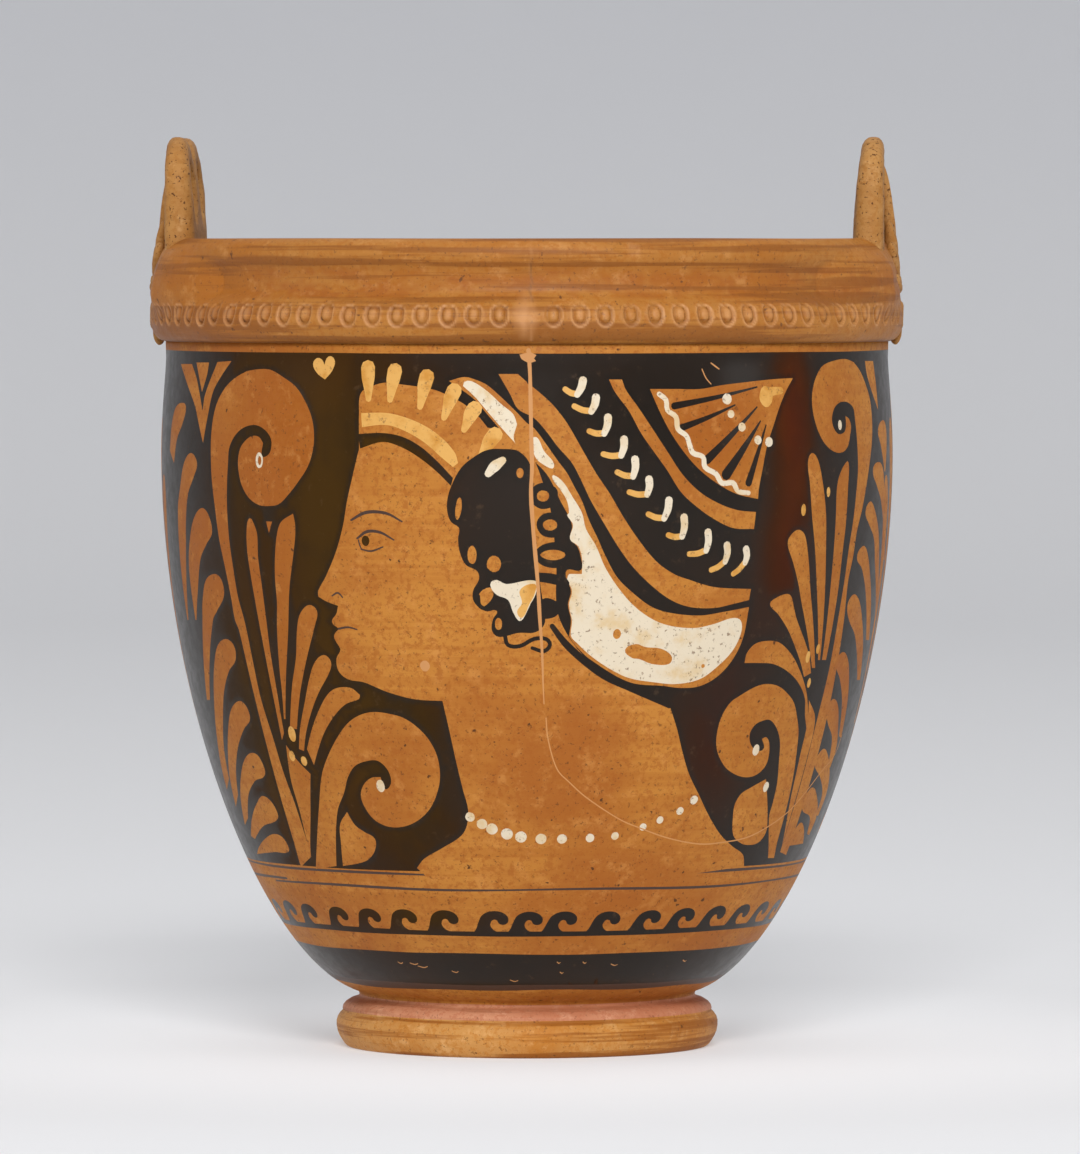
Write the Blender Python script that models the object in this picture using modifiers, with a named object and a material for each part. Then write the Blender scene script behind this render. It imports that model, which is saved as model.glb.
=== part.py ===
# A fired-clay situla: a wine bucket with a broad stamped rim, two twin-loop handles
# with a moulded palmette on each, and a ring foot. Everything was luted together
# wet and fired as one piece, so it is one solid.
# Metres, +Z up. The origin is on the axis, at the plane that the foot stands on.
# The handles are on the X axis and the main picture side faces -Y.

import math

import bmesh
import bpy
from mathutils import Matrix, Vector

# Turned body
RIM_HEIGHT = 0.2424
LIP_RADIUS = 0.1086
LIP_ROUND = 0.0046
COVE_DEPTH = 0.0019
COVE_HEIGHT = 0.0086
# the band, the collar, the belly and the handles keep their places from the lip
BAND_PROUD = 0.0045
BAND_RADIUS = LIP_RADIUS + BAND_PROUD
BAND_SWELL = 0.0047
BAND_HEIGHT = 0.0130
BAND_FLAT = 31
COLLAR_INSET = 0.0001
COLLAR_RADIUS = LIP_RADIUS - COLLAR_INSET
COLLAR_DROP = 0.0055
BELLY_FULLNESS = 0.0013
BELLY_RADIUS = COLLAR_RADIUS + BELLY_FULLNESS
BELLY_HEIGHT = 0.1782
SHOULDER_PULL = 0.0739
BASE_PULL = Vector((0.0285, 0.0085))
WALL = 0.0060
FLOOR = 0.0080
BODY_SIDES = 48
WALL_STEPS = 9
WELD = 0.0000005

# Ring foot
FOOT_RADIUS = 0.0573
FOOT_HEIGHT = 0.0166
FOOT_STEP_HEIGHT = 0.0104
FOOT_TREAD_OUTER = 0.0545
FOOT_TREAD_WIDTH = 0.0085
NECK_RADIUS = 0.0508

# Row of stamped eggs round the rim band
EGG_COUNT = 92
EGG_WIDTH = 0.0046
EGG_LENGTH = 0.0066
EGG_DEPTH = 0.0007
EGG_SIDES = 6
# the handle's ornament hangs over the band within this angle of the X axis, and no egg is stamped there
EGG_GAP = math.radians(8)

# Twin-loop handles
HANDLE_RISE = 0.0303
HANDLE_INSET = 0.0015
HANDLE_OUTER = LIP_RADIUS - HANDLE_INSET
HANDLE_THICKNESS = 0.0092
HANDLE_TOP_THICKNESS = 0.0062
LOOP_RADIUS = 0.0161
LOOP_OFFSET = 0.0148
LOOP_HOLE_RADIUS = 0.0080
LOOP_STEPS = 8
HOLE_SIDES = 12
HANDLE_EDGE = 0.0014
HANDLE_SINK = 0.0070

# Clay smoothed over the joint of handle and rim
PAD_HALF_ANGLE = math.radians(31)
PAD_PROUD = 0.0005
PAD_FLAT_ANGLE = math.radians(17)
PAD_SWELL = 0.0060
PAD_INNER = 0.0015
PAD_HEIGHT = 0.0195
PAD_LEAN = 0.13

# Moulded palmette on the outer face of each handle
PALMETTE_DROP = 0.0195
PALMETTE_RISE = 0.0225
PALMETTE_ASIDE = 0.0004
PALMETTE_LEAN = math.radians(6.5)
PETAL_DEPTH = 0.0026
PETAL_WIDTH = 0.0062
PETAL_COUNT = 7
PETAL_SHARES = (1.0, 0.64, 0.60, 0.46)
PETAL_START = 0.0060
PETAL_SPREAD = math.radians(22)
SCROLL_RADIUS = 0.0046
SCROLL_ROUND = 0.0017
SCROLL_DROP = 0.0035
DROP_LENGTH = 0.0105

CLAY = (0.62, 0.30, 0.09, 1.0)


def clear_scene():
    for obj in list(bpy.data.objects):
        bpy.data.objects.remove(obj)


def new_collection(name):
    collection = bpy.data.collections.new(name)
    bpy.context.scene.collection.children.link(collection)
    return collection


def clay_material():
    material = bpy.data.materials.new("fired_clay")
    material.use_nodes = True
    shader = material.node_tree.nodes["Principled BSDF"]
    shader.inputs["Base Color"].default_value = CLAY
    shader.inputs["Roughness"].default_value = 0.55
    shader.inputs["Metallic"].default_value = 0.0
    return material


def mesh_object(name, mesh, collection):
    obj = bpy.data.objects.new(name, mesh)
    collection.objects.link(obj)
    return obj


def object_from_bmesh(name, bm, collection):
    mesh = bpy.data.meshes.new(name)
    bm.normal_update()
    bmesh.ops.recalc_face_normals(bm, faces=bm.faces)
    bm.to_mesh(mesh)
    bm.free()
    return mesh_object(name, mesh, collection)


def realised(obj, collection):
    """The object with its modifiers or its curve made into a plain mesh, its seams welded."""
    bpy.context.view_layer.update()
    graph = bpy.context.evaluated_depsgraph_get()
    mesh = bpy.data.meshes.new_from_object(obj.evaluated_get(graph))
    name = obj.name
    place = obj.matrix_world.copy()
    bpy.data.objects.remove(obj)
    bm = bmesh.new()
    bm.from_mesh(mesh)
    bmesh.ops.remove_doubles(bm, verts=bm.verts, dist=WELD)
    bm.to_mesh(mesh)
    bm.free()
    made = mesh_object(name, mesh, collection)
    made.matrix_world = place
    return made


def boolean(target, cutter, operation, collection):
    """The target after one Boolean, which is worked out before the next one starts."""
    modifier = target.modifiers.new(operation.lower(), "BOOLEAN")
    modifier.operation = operation
    modifier.object = cutter
    modifier.solver = "EXACT"
    cutter.hide_render = True
    cutter.display_type = "WIRE"
    return realised(target, collection)


def ellipse_arc(centre, across, up, start, end, steps):
    """Points (radius, height) on an ellipse, from start to end in degrees."""
    points = []
    for step in range(steps + 1):
        angle = math.radians(start + (end - start) * step / steps)
        points.append(Vector((centre[0] + across * math.cos(angle), centre[1] + up * math.sin(angle))))
    return points


def bezier(p0, p1, p2, p3, steps):
    points = []
    for step in range(steps + 1):
        t = step / steps
        s = 1 - t
        points.append(p0 * s**3 + p1 * 3 * s * s * t + p2 * 3 * s * t * t + p3 * t**3)
    return points


# Heights that the rim's mouldings share
LIP_CENTRE_HEIGHT = RIM_HEIGHT - LIP_ROUND
COVE_LOW = LIP_CENTRE_HEIGHT - LIP_ROUND - COVE_HEIGHT
BAND_CENTRE_HEIGHT = COVE_LOW - BAND_HEIGHT / 2
COLLAR_HEIGHT = BAND_CENTRE_HEIGHT - BAND_HEIGHT / 2
WALL_TOP = COLLAR_HEIGHT - COLLAR_DROP


def rim_outside():
    """The rim from the top of the lip down to the collar."""
    lip = ellipse_arc((LIP_RADIUS - LIP_ROUND, LIP_CENTRE_HEIGHT), LIP_ROUND, LIP_ROUND, 180, -40, 7)
    cove_radius = LIP_RADIUS - COVE_DEPTH
    cove_top = Vector((cove_radius, LIP_CENTRE_HEIGHT - LIP_ROUND))
    cove_foot = Vector((cove_radius, COVE_LOW + COVE_HEIGHT * 0.4))
    # the eggs are stamped on the band's flat middle
    band_centre = (BAND_RADIUS - BAND_SWELL, BAND_CENTRE_HEIGHT)
    band = [
        *ellipse_arc(band_centre, BAND_SWELL, BAND_HEIGHT / 2, 78, BAND_FLAT, 2),
        *ellipse_arc(band_centre, BAND_SWELL, BAND_HEIGHT / 2, -BAND_FLAT, -78, 2),
    ]
    return [*lip, cove_top, cove_foot, *band, Vector((COLLAR_RADIUS, COLLAR_HEIGHT))]


def wall_outside():
    """The wall from under the rim down to the foot's neck."""
    belly = Vector((BELLY_RADIUS, BELLY_HEIGHT))
    neck = Vector((NECK_RADIUS, FOOT_HEIGHT))
    upper = bezier(
        Vector((COLLAR_RADIUS - 0.0002, WALL_TOP)),
        Vector((COLLAR_RADIUS + 0.0003, WALL_TOP - 0.008)),
        belly + Vector((0, 0.010)),
        belly,
        3,
    )
    lower = bezier(belly, belly - Vector((0, SHOULDER_PULL)), neck + BASE_PULL, neck, WALL_STEPS)
    return upper + lower[1:]


def foot_outside():
    """The ring foot from the neck round to the middle of the underside."""
    shelf = Vector((NECK_RADIUS + 0.0027, FOOT_HEIGHT - 0.0028))
    step = Vector((FOOT_RADIUS - 0.0019, FOOT_STEP_HEIGHT))
    roll_height = FOOT_STEP_HEIGHT * 0.58
    roll = ellipse_arc(
        (FOOT_RADIUS - 0.0048, roll_height), 0.0048, FOOT_STEP_HEIGHT * 0.50, 38, -52, 4
    )
    tread_inner = FOOT_TREAD_OUTER - FOOT_TREAD_WIDTH
    under = floor_top() - FLOOR
    return [
        shelf,
        step,
        *roll,
        Vector((FOOT_TREAD_OUTER, 0)),
        Vector((tread_inner, 0)),
        Vector((tread_inner - 0.0030, under - 0.0030)),
        Vector((tread_inner - 0.0075, under)),
        Vector((0, under)),
    ]


def wall_inside():
    """The wall's outside moved in by the wall's thickness, square to it, from floor to lip."""
    outside = wall_outside()
    points = []
    for index in range(1, len(outside) - 1, 2):
        run = (outside[index + 1] - outside[index - 1]).normalized()
        inward = Vector((run.y, -run.x))
        points.append(outside[index] + inward * WALL)
    points.reverse()
    return [point for point in points if point.y > floor_top() + 0.001]


def floor_top():
    return FOOT_HEIGHT + WALL


def body_profile():
    """The closed section, from the middle of the floor over the lip and down to the underside."""
    inside = wall_inside()
    corner = Vector((inside[0].x - 0.012, floor_top()))
    rim = rim_outside()
    return [Vector((0, floor_top())), corner, *inside, *rim, *wall_outside(), *foot_outside()]


def turned_body(collection):
    mesh = bpy.data.meshes.new("profile")
    profile = body_profile()
    edges = [(index, index + 1) for index in range(len(profile) - 1)]
    mesh.from_pydata([(point.x, 0, point.y) for point in profile], edges, [])
    body = mesh_object("situla", mesh, collection)
    screw = body.modifiers.new("turn", "SCREW")
    screw.steps = BODY_SIDES
    screw.render_steps = BODY_SIDES
    screw.use_merge_vertices = True
    screw.merge_threshold = 0.00001
    return realised(body, collection)


def egg_cutters(collection):
    """A ring of six-sided punches whose inner ends lie just under the band's face."""
    bm = bmesh.new()
    reach = 0.006
    facet = math.cos(math.pi / BODY_SIDES)
    band_face = (BAND_RADIUS - BAND_SWELL * (1 - math.cos(math.radians(BAND_FLAT)))) * facet
    for index in range(EGG_COUNT):
        angle = 2 * math.pi * (index + 0.5) / EGG_COUNT
        if abs(math.sin(angle)) < math.sin(EGG_GAP):
            continue
        punch = bmesh.ops.create_cone(
            bm, cap_ends=True, segments=EGG_SIDES, radius1=0.5, radius2=0.62, depth=1
        )["verts"]
        bmesh.ops.scale(bm, verts=punch, vec=(EGG_LENGTH, EGG_WIDTH, reach))
        bmesh.ops.rotate(bm, verts=punch, matrix=Matrix.Rotation(math.radians(90), 3, "Y"))
        bmesh.ops.translate(
            bm, verts=punch, vec=(band_face - EGG_DEPTH + reach / 2, 0, BAND_CENTRE_HEIGHT)
        )
        bmesh.ops.rotate(bm, verts=punch, matrix=Matrix.Rotation(angle, 3, "Z"))
    return object_from_bmesh("egg_punches", bm, collection)


def loop_outline():
    """The handle's outline in (across, height), anticlockwise from the lower right corner."""
    centre = RIM_HEIGHT + HANDLE_RISE - LOOP_RADIUS
    bottom = RIM_HEIGHT - HANDLE_SINK
    # the two loops meet at the notch, on the handle's middle line
    notch = math.acos(-LOOP_OFFSET / LOOP_RADIUS)
    right = []
    for step in range(LOOP_STEPS + 1):
        angle = notch * step / LOOP_STEPS
        right.append((LOOP_OFFSET + LOOP_RADIUS * math.cos(angle), centre + LOOP_RADIUS * math.sin(angle)))
    left = [(-across, height) for across, height in reversed(right[:-1])]
    half_width = LOOP_OFFSET + LOOP_RADIUS
    return [(half_width, bottom), *right, *left, (-half_width, bottom)]


def hole_outline(side):
    centre = RIM_HEIGHT + HANDLE_RISE - LOOP_RADIUS
    points = []
    for step in range(HOLE_SIDES):
        angle = 2 * math.pi * step / HOLE_SIDES
        across = side * LOOP_OFFSET + LOOP_HOLE_RADIUS * math.cos(angle)
        points.append((across, centre + LOOP_HOLE_RADIUS * math.sin(angle)))
    return points


def handle_slab(name, collection):
    """The twin-loop plate, its outer face plumb and its inner face leaning out towards the top."""
    curve = bpy.data.curves.new(name, "CURVE")
    curve.dimensions = "2D"
    curve.fill_mode = "BOTH"
    curve.extrude = HANDLE_THICKNESS / 2 - HANDLE_EDGE
    curve.bevel_depth = HANDLE_EDGE
    curve.bevel_resolution = 0
    curve.offset = -HANDLE_EDGE
    for outline in (loop_outline(), hole_outline(1), hole_outline(-1)):
        spline = curve.splines.new("POLY")
        spline.points.add(len(outline) - 1)
        spline.use_cyclic_u = True
        for point, (across, height) in zip(spline.points, outline):
            point.co = (across, height, 0, 1)
    slab = bpy.data.objects.new(name, curve)
    collection.objects.link(slab)
    slab = realised(slab, collection)
    bm = bmesh.new()
    bm.from_mesh(slab.data)
    bottom = RIM_HEIGHT - HANDLE_SINK
    for vert in bm.verts:
        across, height, depth = vert.co
        share = min(max((height - RIM_HEIGHT) / HANDLE_RISE, 0), 1)
        thickness = HANDLE_THICKNESS + (HANDLE_TOP_THICKNESS - HANDLE_THICKNESS) * share**1.6
        inwards = thickness * (0.5 - depth / HANDLE_THICKNESS)
        vert.co = (HANDLE_OUTER - inwards, across, max(height, bottom))
    bm.normal_update()
    bmesh.ops.recalc_face_normals(bm, faces=bm.faces)
    bmesh.ops.triangulate(bm, faces=bm.faces)
    bm.to_mesh(slab.data)
    bm.free()
    return slab


def clay_pad(name, collection):
    """A swelling of clay bent round the rim, thickest behind the handle and fading out to both sides."""
    bm = bmesh.new()
    bmesh.ops.create_uvsphere(bm, u_segments=14, v_segments=8, radius=1)
    core = LIP_RADIUS + PAD_PROUD - PAD_SWELL
    middle = RIM_HEIGHT - PAD_HEIGHT / 2 - 0.0006
    for vert in bm.verts:
        # squarer than an ellipsoid in section, so that it stands nearly straight from lip to band
        out = abs(vert.co.x) ** 0.55
        height = middle + vert.co.z * PAD_HEIGHT / 2
        lean = (RIM_HEIGHT - height) * PAD_LEAN
        round_the_rim = vert.co.y * PAD_HALF_ANGLE
        # the plate above is flat, so the clay under its two ends comes out to meet it
        flat = 1 / math.cos(min(abs(round_the_rim), PAD_FLAT_ANGLE)) - 1
        if vert.co.x > 0:
            radius = core + lean + PAD_SWELL * out + HANDLE_OUTER * flat * out**2
        else:
            radius = core - PAD_INNER * out
        vert.co = (radius * math.cos(round_the_rim), radius * math.sin(round_the_rim), height)
    return object_from_bmesh(name, bm, collection)


def petal(name, root, start, length, turn, lean, collection):
    """One drop-shaped petal on the handle's face, pointing away from the palmette's heart."""
    bm = bmesh.new()
    bmesh.ops.create_uvsphere(bm, u_segments=6, v_segments=6, radius=1)
    # no petal has its widest edge in the same plane as its neighbour's
    twist = math.radians(14) + 0.6 * turn
    bmesh.ops.rotate(bm, verts=bm.verts, matrix=Matrix.Rotation(twist, 3, "Z"))
    for vert in bm.verts:
        along = (vert.co.z + 1) / 2
        swell = 0.45 + 0.55 * along
        vert.co = (
            vert.co.x * PETAL_DEPTH * (0.6 + 0.4 * along),
            vert.co.y * PETAL_WIDTH / 2 * swell,
            start + along * (length - start),
        )
    bmesh.ops.rotate(bm, verts=bm.verts, matrix=Matrix.Rotation(turn, 3, "X"))
    bmesh.ops.rotate(bm, verts=bm.verts, matrix=Matrix.Rotation(lean, 3, "Y"))
    bmesh.ops.translate(bm, verts=bm.verts, vec=root)
    return object_from_bmesh(name, bm, collection)


def scroll(name, centre, collection):
    """A small flattened ring below the petals, one of the palmette's two volutes."""
    bpy.ops.mesh.primitive_torus_add(
        major_radius=SCROLL_RADIUS - SCROLL_ROUND,
        minor_radius=SCROLL_ROUND,
        major_segments=8,
        minor_segments=4,
        location=centre,
        rotation=(0, math.radians(90), 0),
    )
    ring = bpy.context.object
    ring.name = name
    for owner in list(ring.users_collection):
        owner.objects.unlink(ring)
    collection.objects.link(ring)
    return ring


def palmette(name, collection):
    """The petals, volutes and hanging drop of one palmette, on the +X handle."""
    heart_height = RIM_HEIGHT - PALMETTE_DROP
    slope = math.atan(PAD_LEAN)
    heart_out = LIP_RADIUS + PAD_PROUD + PALMETTE_DROP * PAD_LEAN * 0.9
    root = Vector((heart_out, PALMETTE_ASIDE, heart_height))
    full_length = PALMETTE_DROP + PALMETTE_RISE
    pieces = []
    middle = (PETAL_COUNT - 1) / 2
    for index in range(PETAL_COUNT):
        offset = index - middle
        # only the middle petal is tall enough to run up between the two holes
        length = full_length * PETAL_SHARES[round(abs(offset))]
        turn = -offset * PETAL_SPREAD
        start = PETAL_START + 0.0004 * abs(offset)
        pieces.append(petal(f"{name}_petal_{index}", root, start, length, turn, -PALMETTE_LEAN, collection))
    for side in (1, -1):
        centre = (heart_out - 0.0002, PALMETTE_ASIDE + side * SCROLL_RADIUS * 1.06, heart_height - SCROLL_DROP)
        pieces.append(scroll(f"{name}_scroll_{side}", centre, collection))
    drop_root = root - Vector((0.0004, 0, 0.0020))
    pieces.append(petal(f"{name}_drop", drop_root, 0.0005, DROP_LENGTH, math.pi, slope * 0.3, collection))
    return pieces


def handle(name, side, cutters):
    """A whole handle with its pad and palmette, joined into one mesh on the +X or the -X side."""
    slab = handle_slab(name, cutters)
    for piece in [clay_pad(f"{name}_pad", cutters), *palmette(name, cutters)]:
        slab = boolean(slab, piece, "UNION", cutters)
    if side < 0:
        slab.data.transform(Matrix.Rotation(math.pi, 4, "Z"))
    return slab


def main():
    clear_scene()
    vessel = new_collection("situla")
    cutters = new_collection("cutters")
    body = turned_body(vessel)
    body = boolean(body, egg_cutters(cutters), "DIFFERENCE", vessel)
    for side, name in ((1, "right_handle"), (-1, "left_handle")):
        body = boolean(body, handle(name, side, cutters), "UNION", vessel)
    body.data.materials.append(clay_material())
    body.data.shade_smooth()
    body.data.set_sharp_from_angle(angle=math.radians(32))


main()
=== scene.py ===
# A fired-clay situla in a studio: a wine bucket with a stamped rim, two twin-loop handles
# with moulded palmettes, and a painted wall with a woman's head in a patterned headdress.
# The front of the painting is given in picture points of the studio view, and each point is
# laid on the wall along the line of sight. The hidden sides are given in degrees and heights.

import math
import random

import bmesh
import bpy
from mathutils import Matrix, Vector, noise
from mathutils.geometry import delaunay_2d_cdt, interpolate_bezier
from mathutils.kdtree import KDTree


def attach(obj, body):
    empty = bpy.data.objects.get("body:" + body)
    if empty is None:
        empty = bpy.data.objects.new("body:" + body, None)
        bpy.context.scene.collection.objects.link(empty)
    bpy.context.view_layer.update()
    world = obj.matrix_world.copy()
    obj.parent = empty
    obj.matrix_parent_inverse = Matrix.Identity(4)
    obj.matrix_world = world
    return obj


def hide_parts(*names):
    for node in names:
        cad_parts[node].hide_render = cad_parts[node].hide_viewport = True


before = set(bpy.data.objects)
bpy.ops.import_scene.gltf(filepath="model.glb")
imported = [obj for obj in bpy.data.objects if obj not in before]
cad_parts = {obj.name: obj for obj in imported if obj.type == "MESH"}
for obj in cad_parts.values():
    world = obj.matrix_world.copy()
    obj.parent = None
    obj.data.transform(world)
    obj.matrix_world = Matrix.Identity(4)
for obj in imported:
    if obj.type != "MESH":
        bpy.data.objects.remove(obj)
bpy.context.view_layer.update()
random.seed(7)

# Studio eye. Its turn is in degrees towards +X, and the lens is in millimetres.
eye = {
    "distance": 3.1,
    "turn": 2.0,
    "height": 0.2424,
    "aimAside": 0.0039,
    "aimHeight": 0.1407,
    "lens": 322.0,
    "sensor": 36,
    "pictureWidth": 1080,
    "pictureHeight": 1154,
}

# Turned wall, in metres, with the sides of its rings
wall = {
    "topRadius": 0.10845,
    "topHeight": 0.2121,
    "shoulderRadius": 0.1083,
    "shoulderHeight": 0.2061,
    "bellyRadius": 0.1098,
    "bellyHeight": 0.1782,
    "bellyPull": 0.0739,
    "neckRadius": 0.0508,
    "neckHeight": 0.0166,
    "neckPull": (0.0285, 0.0085),
    "bellyRise": 0.01,
    "shoulderPull": (0.0005, 0.008),
    "lowerSteps": 160,
    "upperSteps": 30,
    "sides": 240,
    "sheetRadius": 110.0,
}

pi = math.pi


# Points from text, each as its numbers with commas between them. A list passes through as it is.
def spots(text):
    if not isinstance(text, str):
        return text
    return [tuple(float(number) for number in spot.split(",")) for spot in text.split()]


# Smooth noise between -1 and 1 at three numbers
def wander(a, b, c):
    return noise.noise(Vector((a, b, c)))


def clamped(value):
    return min(max(value, 0.0), 1.0)


def newObject(name, mesh, materials=()):
    obj = bpy.data.objects.new(name, mesh)
    bpy.context.scene.collection.objects.link(obj)
    for material in materials:
        mesh.materials.append(material)
    return obj


def meshFromBmesh(name, bm):
    mesh = bpy.data.meshes.new(name)
    bm.to_mesh(mesh)
    bm.free()
    return mesh


def outwardMesh(name, bm):
    bmesh.ops.recalc_face_normals(bm, faces=bm.faces)
    return meshFromBmesh(name, bm)


def bezierRun(p0, p1, p2, p3, steps):
    knots = [Vector((*point, 0)) for point in (p0, p1, p2, p3)]
    return [Vector(point) for point in interpolate_bezier(*knots, steps + 1)]


# The wall's section from the foot's neck up to the rim, each point as its distance along it,
# its radius and its height in millimetres
def wallTable():
    belly = (wall["bellyRadius"], wall["bellyHeight"])
    neck = (wall["neckRadius"], wall["neckHeight"])
    pull = (neck[0] + wall["neckPull"][0], neck[1] + wall["neckPull"][1])
    lower = bezierRun(neck, pull, (belly[0], belly[1] - wall["bellyPull"]), belly, wall["lowerSteps"])
    shoulder = (wall["shoulderRadius"], wall["shoulderHeight"])
    rise = (belly[0], belly[1] + wall["bellyRise"])
    pull = (shoulder[0] + wall["shoulderPull"][0], shoulder[1] - wall["shoulderPull"][1])
    upper = bezierRun(belly, rise, pull, shoulder, wall["upperSteps"])
    run = [*lower, *upper[1:], Vector((wall["topRadius"], wall["topHeight"], 0))]
    table = []
    along = 0.0
    for index, point in enumerate(run):
        if index:
            along += (point - run[index - 1]).length
        table.append((along * 1000, point.x * 1000, point.y * 1000))
    return table


section = wallTable()
sheetTop = section[-1][0]
halfTurn = pi * wall["sheetRadius"]


# Linear look-up in the section: the columns are 0 along, 1 radius, 2 height
def lookUp(value, column, wanted):
    low, high = 0, len(section) - 1
    value = min(max(value, section[0][column]), section[-1][column])
    while high - low > 1:
        middle = (low + high) // 2
        if section[middle][column] <= value:
            low = middle
        else:
            high = middle
    a, b = section[low], section[high]
    share = (value - a[column]) / (b[column] - a[column])
    return a[wanted] + (b[wanted] - a[wanted]) * share


def eyePlace():
    turn = math.radians(eye["turn"])
    place = Vector((eye["distance"] * math.sin(turn), -eye["distance"] * math.cos(turn), eye["height"]))
    aim = Vector((eye["aimAside"] * math.cos(turn), eye["aimAside"] * math.sin(turn), eye["aimHeight"]))
    return place, (aim - place).to_track_quat("-Z", "Y")


eyeAt, eyeTurn = eyePlace()


# The search along a line of sight: where it starts before the vessel's middle, its step in metres and its counts
sight = {"before": 0.125, "step": 0.0025, "steps": 54, "halvings": 16}


# Where the line of sight through a picture point meets the wall, as (sheet place across, sheet place up)
def wallPoint(x, y):
    focal = eye["lens"] / eye["sensor"] * eye["pictureHeight"]
    across = (x - eye["pictureWidth"] / 2) / focal
    up = (eye["pictureHeight"] / 2 - y) / focal
    ray = eyeTurn @ Vector((across, up, -1)).normalized()

    def gap(reach):
        place = (eyeAt + ray * reach) * 1000
        return math.hypot(place.x, place.y) - lookUp(place.z, 2, 1)

    near, step = eye["distance"] - sight["before"], sight["step"]
    best, bestGap = near, math.inf
    far = near
    for _ in range(sight["steps"]):
        far += step
        here = gap(far)
        if here < bestGap:
            best, bestGap = far, here
        if here <= 0:
            break
    if bestGap <= 0:
        near = far - step
        for _ in range(sight["halvings"]):
            middle = (near + far) / 2
            if gap(middle) <= 0:
                far = middle
            else:
                near = middle
        best = far
    place = (eyeAt + ray * best) * 1000
    return Vector((math.atan2(place.x, -place.y) * wall["sheetRadius"], lookUp(place.z, 2, 0)))


# Sheet place of an angle in degrees and a height in millimetres
def sidePoint(angle, height):
    return Vector((math.radians(angle) * wall["sheetRadius"], lookUp(height, 2, 0)))


# Place in metres of a sheet point
def onWall(u, v):
    radius, height, angle = lookUp(v, 0, 1) / 1000, lookUp(v, 0, 2) / 1000, u / wall["sheetRadius"]
    return radius * math.sin(angle), -radius * math.cos(angle), height


# Painted shapes, in the order that the painter laid them, as (paint, outline on the sheet)
layers = []

# The step along an outline and half of a picture point on the wall in millimetres, and the sides of a dab
drawing = {"step": 0.85, "halfPoint": 0.15, "dabSides": 14}


# A run of sheet points made into a smooth curve through them
def smoothRun(run, closed=False):
    count = len(run)
    if count < 3 and not closed:
        return straightRun(run)
    tangents = []
    for index in range(count):
        before = run[index - 1] if closed or index else run[index]
        after = run[(index + 1) % count] if closed or index < count - 1 else run[index]
        tangents.append((after - before).normalized() if (after - before).length > 1e-6 else Vector((0, 0)))
    curve = []
    for index in range(count if closed else count - 1):
        a, b = run[index], run[(index + 1) % count]
        reach = (b - a).length / 3
        steps = max(1, round(reach * 3 / drawing["step"]))
        knots = (a, a + tangents[index] * reach, b - tangents[(index + 1) % count] * reach, b)
        part = interpolate_bezier(*(knot.to_3d() for knot in knots), steps + 1)
        curve.extend(point.to_2d() for point in part[:-1])
    if not closed:
        curve.append(run[-1])
    return curve


def straightRun(run):
    curve = []
    for a, b in zip(run, run[1:]):
        steps = max(1, round((b - a).length / drawing["step"]))
        curve.extend(a.lerp(b, step / steps) for step in range(steps))
    curve.append(run[-1])
    return curve


# Picture or side points made into a closed outline. A third number on a point marks a sharp corner.
def outlineThrough(points, land):
    placed = [land(point[0], point[1]) for point in points]
    corners = [index for index, point in enumerate(points) if len(point) > 2]
    if not corners:
        return smoothRun(placed, closed=True)
    outline = []
    for here, there in zip(corners, corners[1:] + [corners[0] + len(points)]):
        run = [placed[index % len(points)] for index in range(here, there + 1)]
        outline.extend(smoothRun(run)[:-1])
    return outline


def paint(name, points, land=wallPoint):
    layers.append((name, outlineThrough(spots(points), land)))


# A brush stroke through points (across, up, width), its ends rounded. Widths are in picture points.
def stroke(name, points, land=wallPoint):
    points = spots(points)
    middle = smoothRun([land(point[0], point[1]) for point in points])
    widths = [point[2] * drawing["halfPoint"] for point in points]
    count = len(middle)
    left, right = [], []
    for index, point in enumerate(middle):
        ahead = middle[min(index + 1, count - 1)] - middle[max(index - 1, 0)]
        side = Vector((-ahead.y, ahead.x)).normalized()
        share = index / max(count - 1, 1) * (len(points) - 1)
        low = min(int(share), len(points) - 2)
        half = widths[low] + (widths[low + 1] - widths[low]) * (share - low)
        # the sheet is wider than the wall where the wall draws in, so widths across it grow by as much
        spread = wall["sheetRadius"] / lookUp(point.y, 0, 1)
        reach = Vector((side.x * half * spread, side.y * half))
        left.append(point + reach)
        right.append(point - reach)
    for end, inner in ((0, 1), (-1, -2)):
        ahead = (middle[end] - middle[inner]).normalized()
        across = (left[end] - right[end]) / 2
        cap = []
        for share in (0.25, 0.5, 0.75):
            turn = pi * share
            cap.append(middle[end] + across * math.cos(turn) + ahead * across.length * 0.9 * math.sin(turn))
        if end:
            left.extend(cap)
        else:
            left[:0] = cap[::-1]
    layers.append((name, left + right[::-1]))


# A dab of paint with its middle, its width and height in picture points and its tilt in degrees
def dab(name, x, y, width, height, tilt=0, land=wallPoint):
    middle = land(x, y)
    spread = wall["sheetRadius"] / lookUp(middle.y, 0, 1)
    turn = math.radians(tilt)
    outline = []
    for index in range(drawing["dabSides"]):
        angle = 2 * pi * index / drawing["dabSides"]
        rough = 1 + 0.07 * wander(x * 3.1, y * 2.7, index * 0.9)
        a = math.cos(angle) * width * drawing["halfPoint"] * rough
        b = math.sin(angle) * height * drawing["halfPoint"] * rough
        across = (a * math.cos(turn) + b * math.sin(turn)) * spread
        outline.append(middle + Vector((across, b * math.cos(turn) - a * math.sin(turn))))
    layers.append((name, smoothRun(outline, closed=True)))


# A palmette leaf from its rounded top down both edges to the root, where the last points are sharp corners
def leaf(top, leftEdge, rightEdge, land=wallPoint):
    left = [*leftEdge[:-1], (*leftEdge[-1], 1)]
    right = [*rightEdge[:-1], (*rightEdge[-1], 1)]
    paint("clay", [top, *right, *left[::-1]], land)


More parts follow.
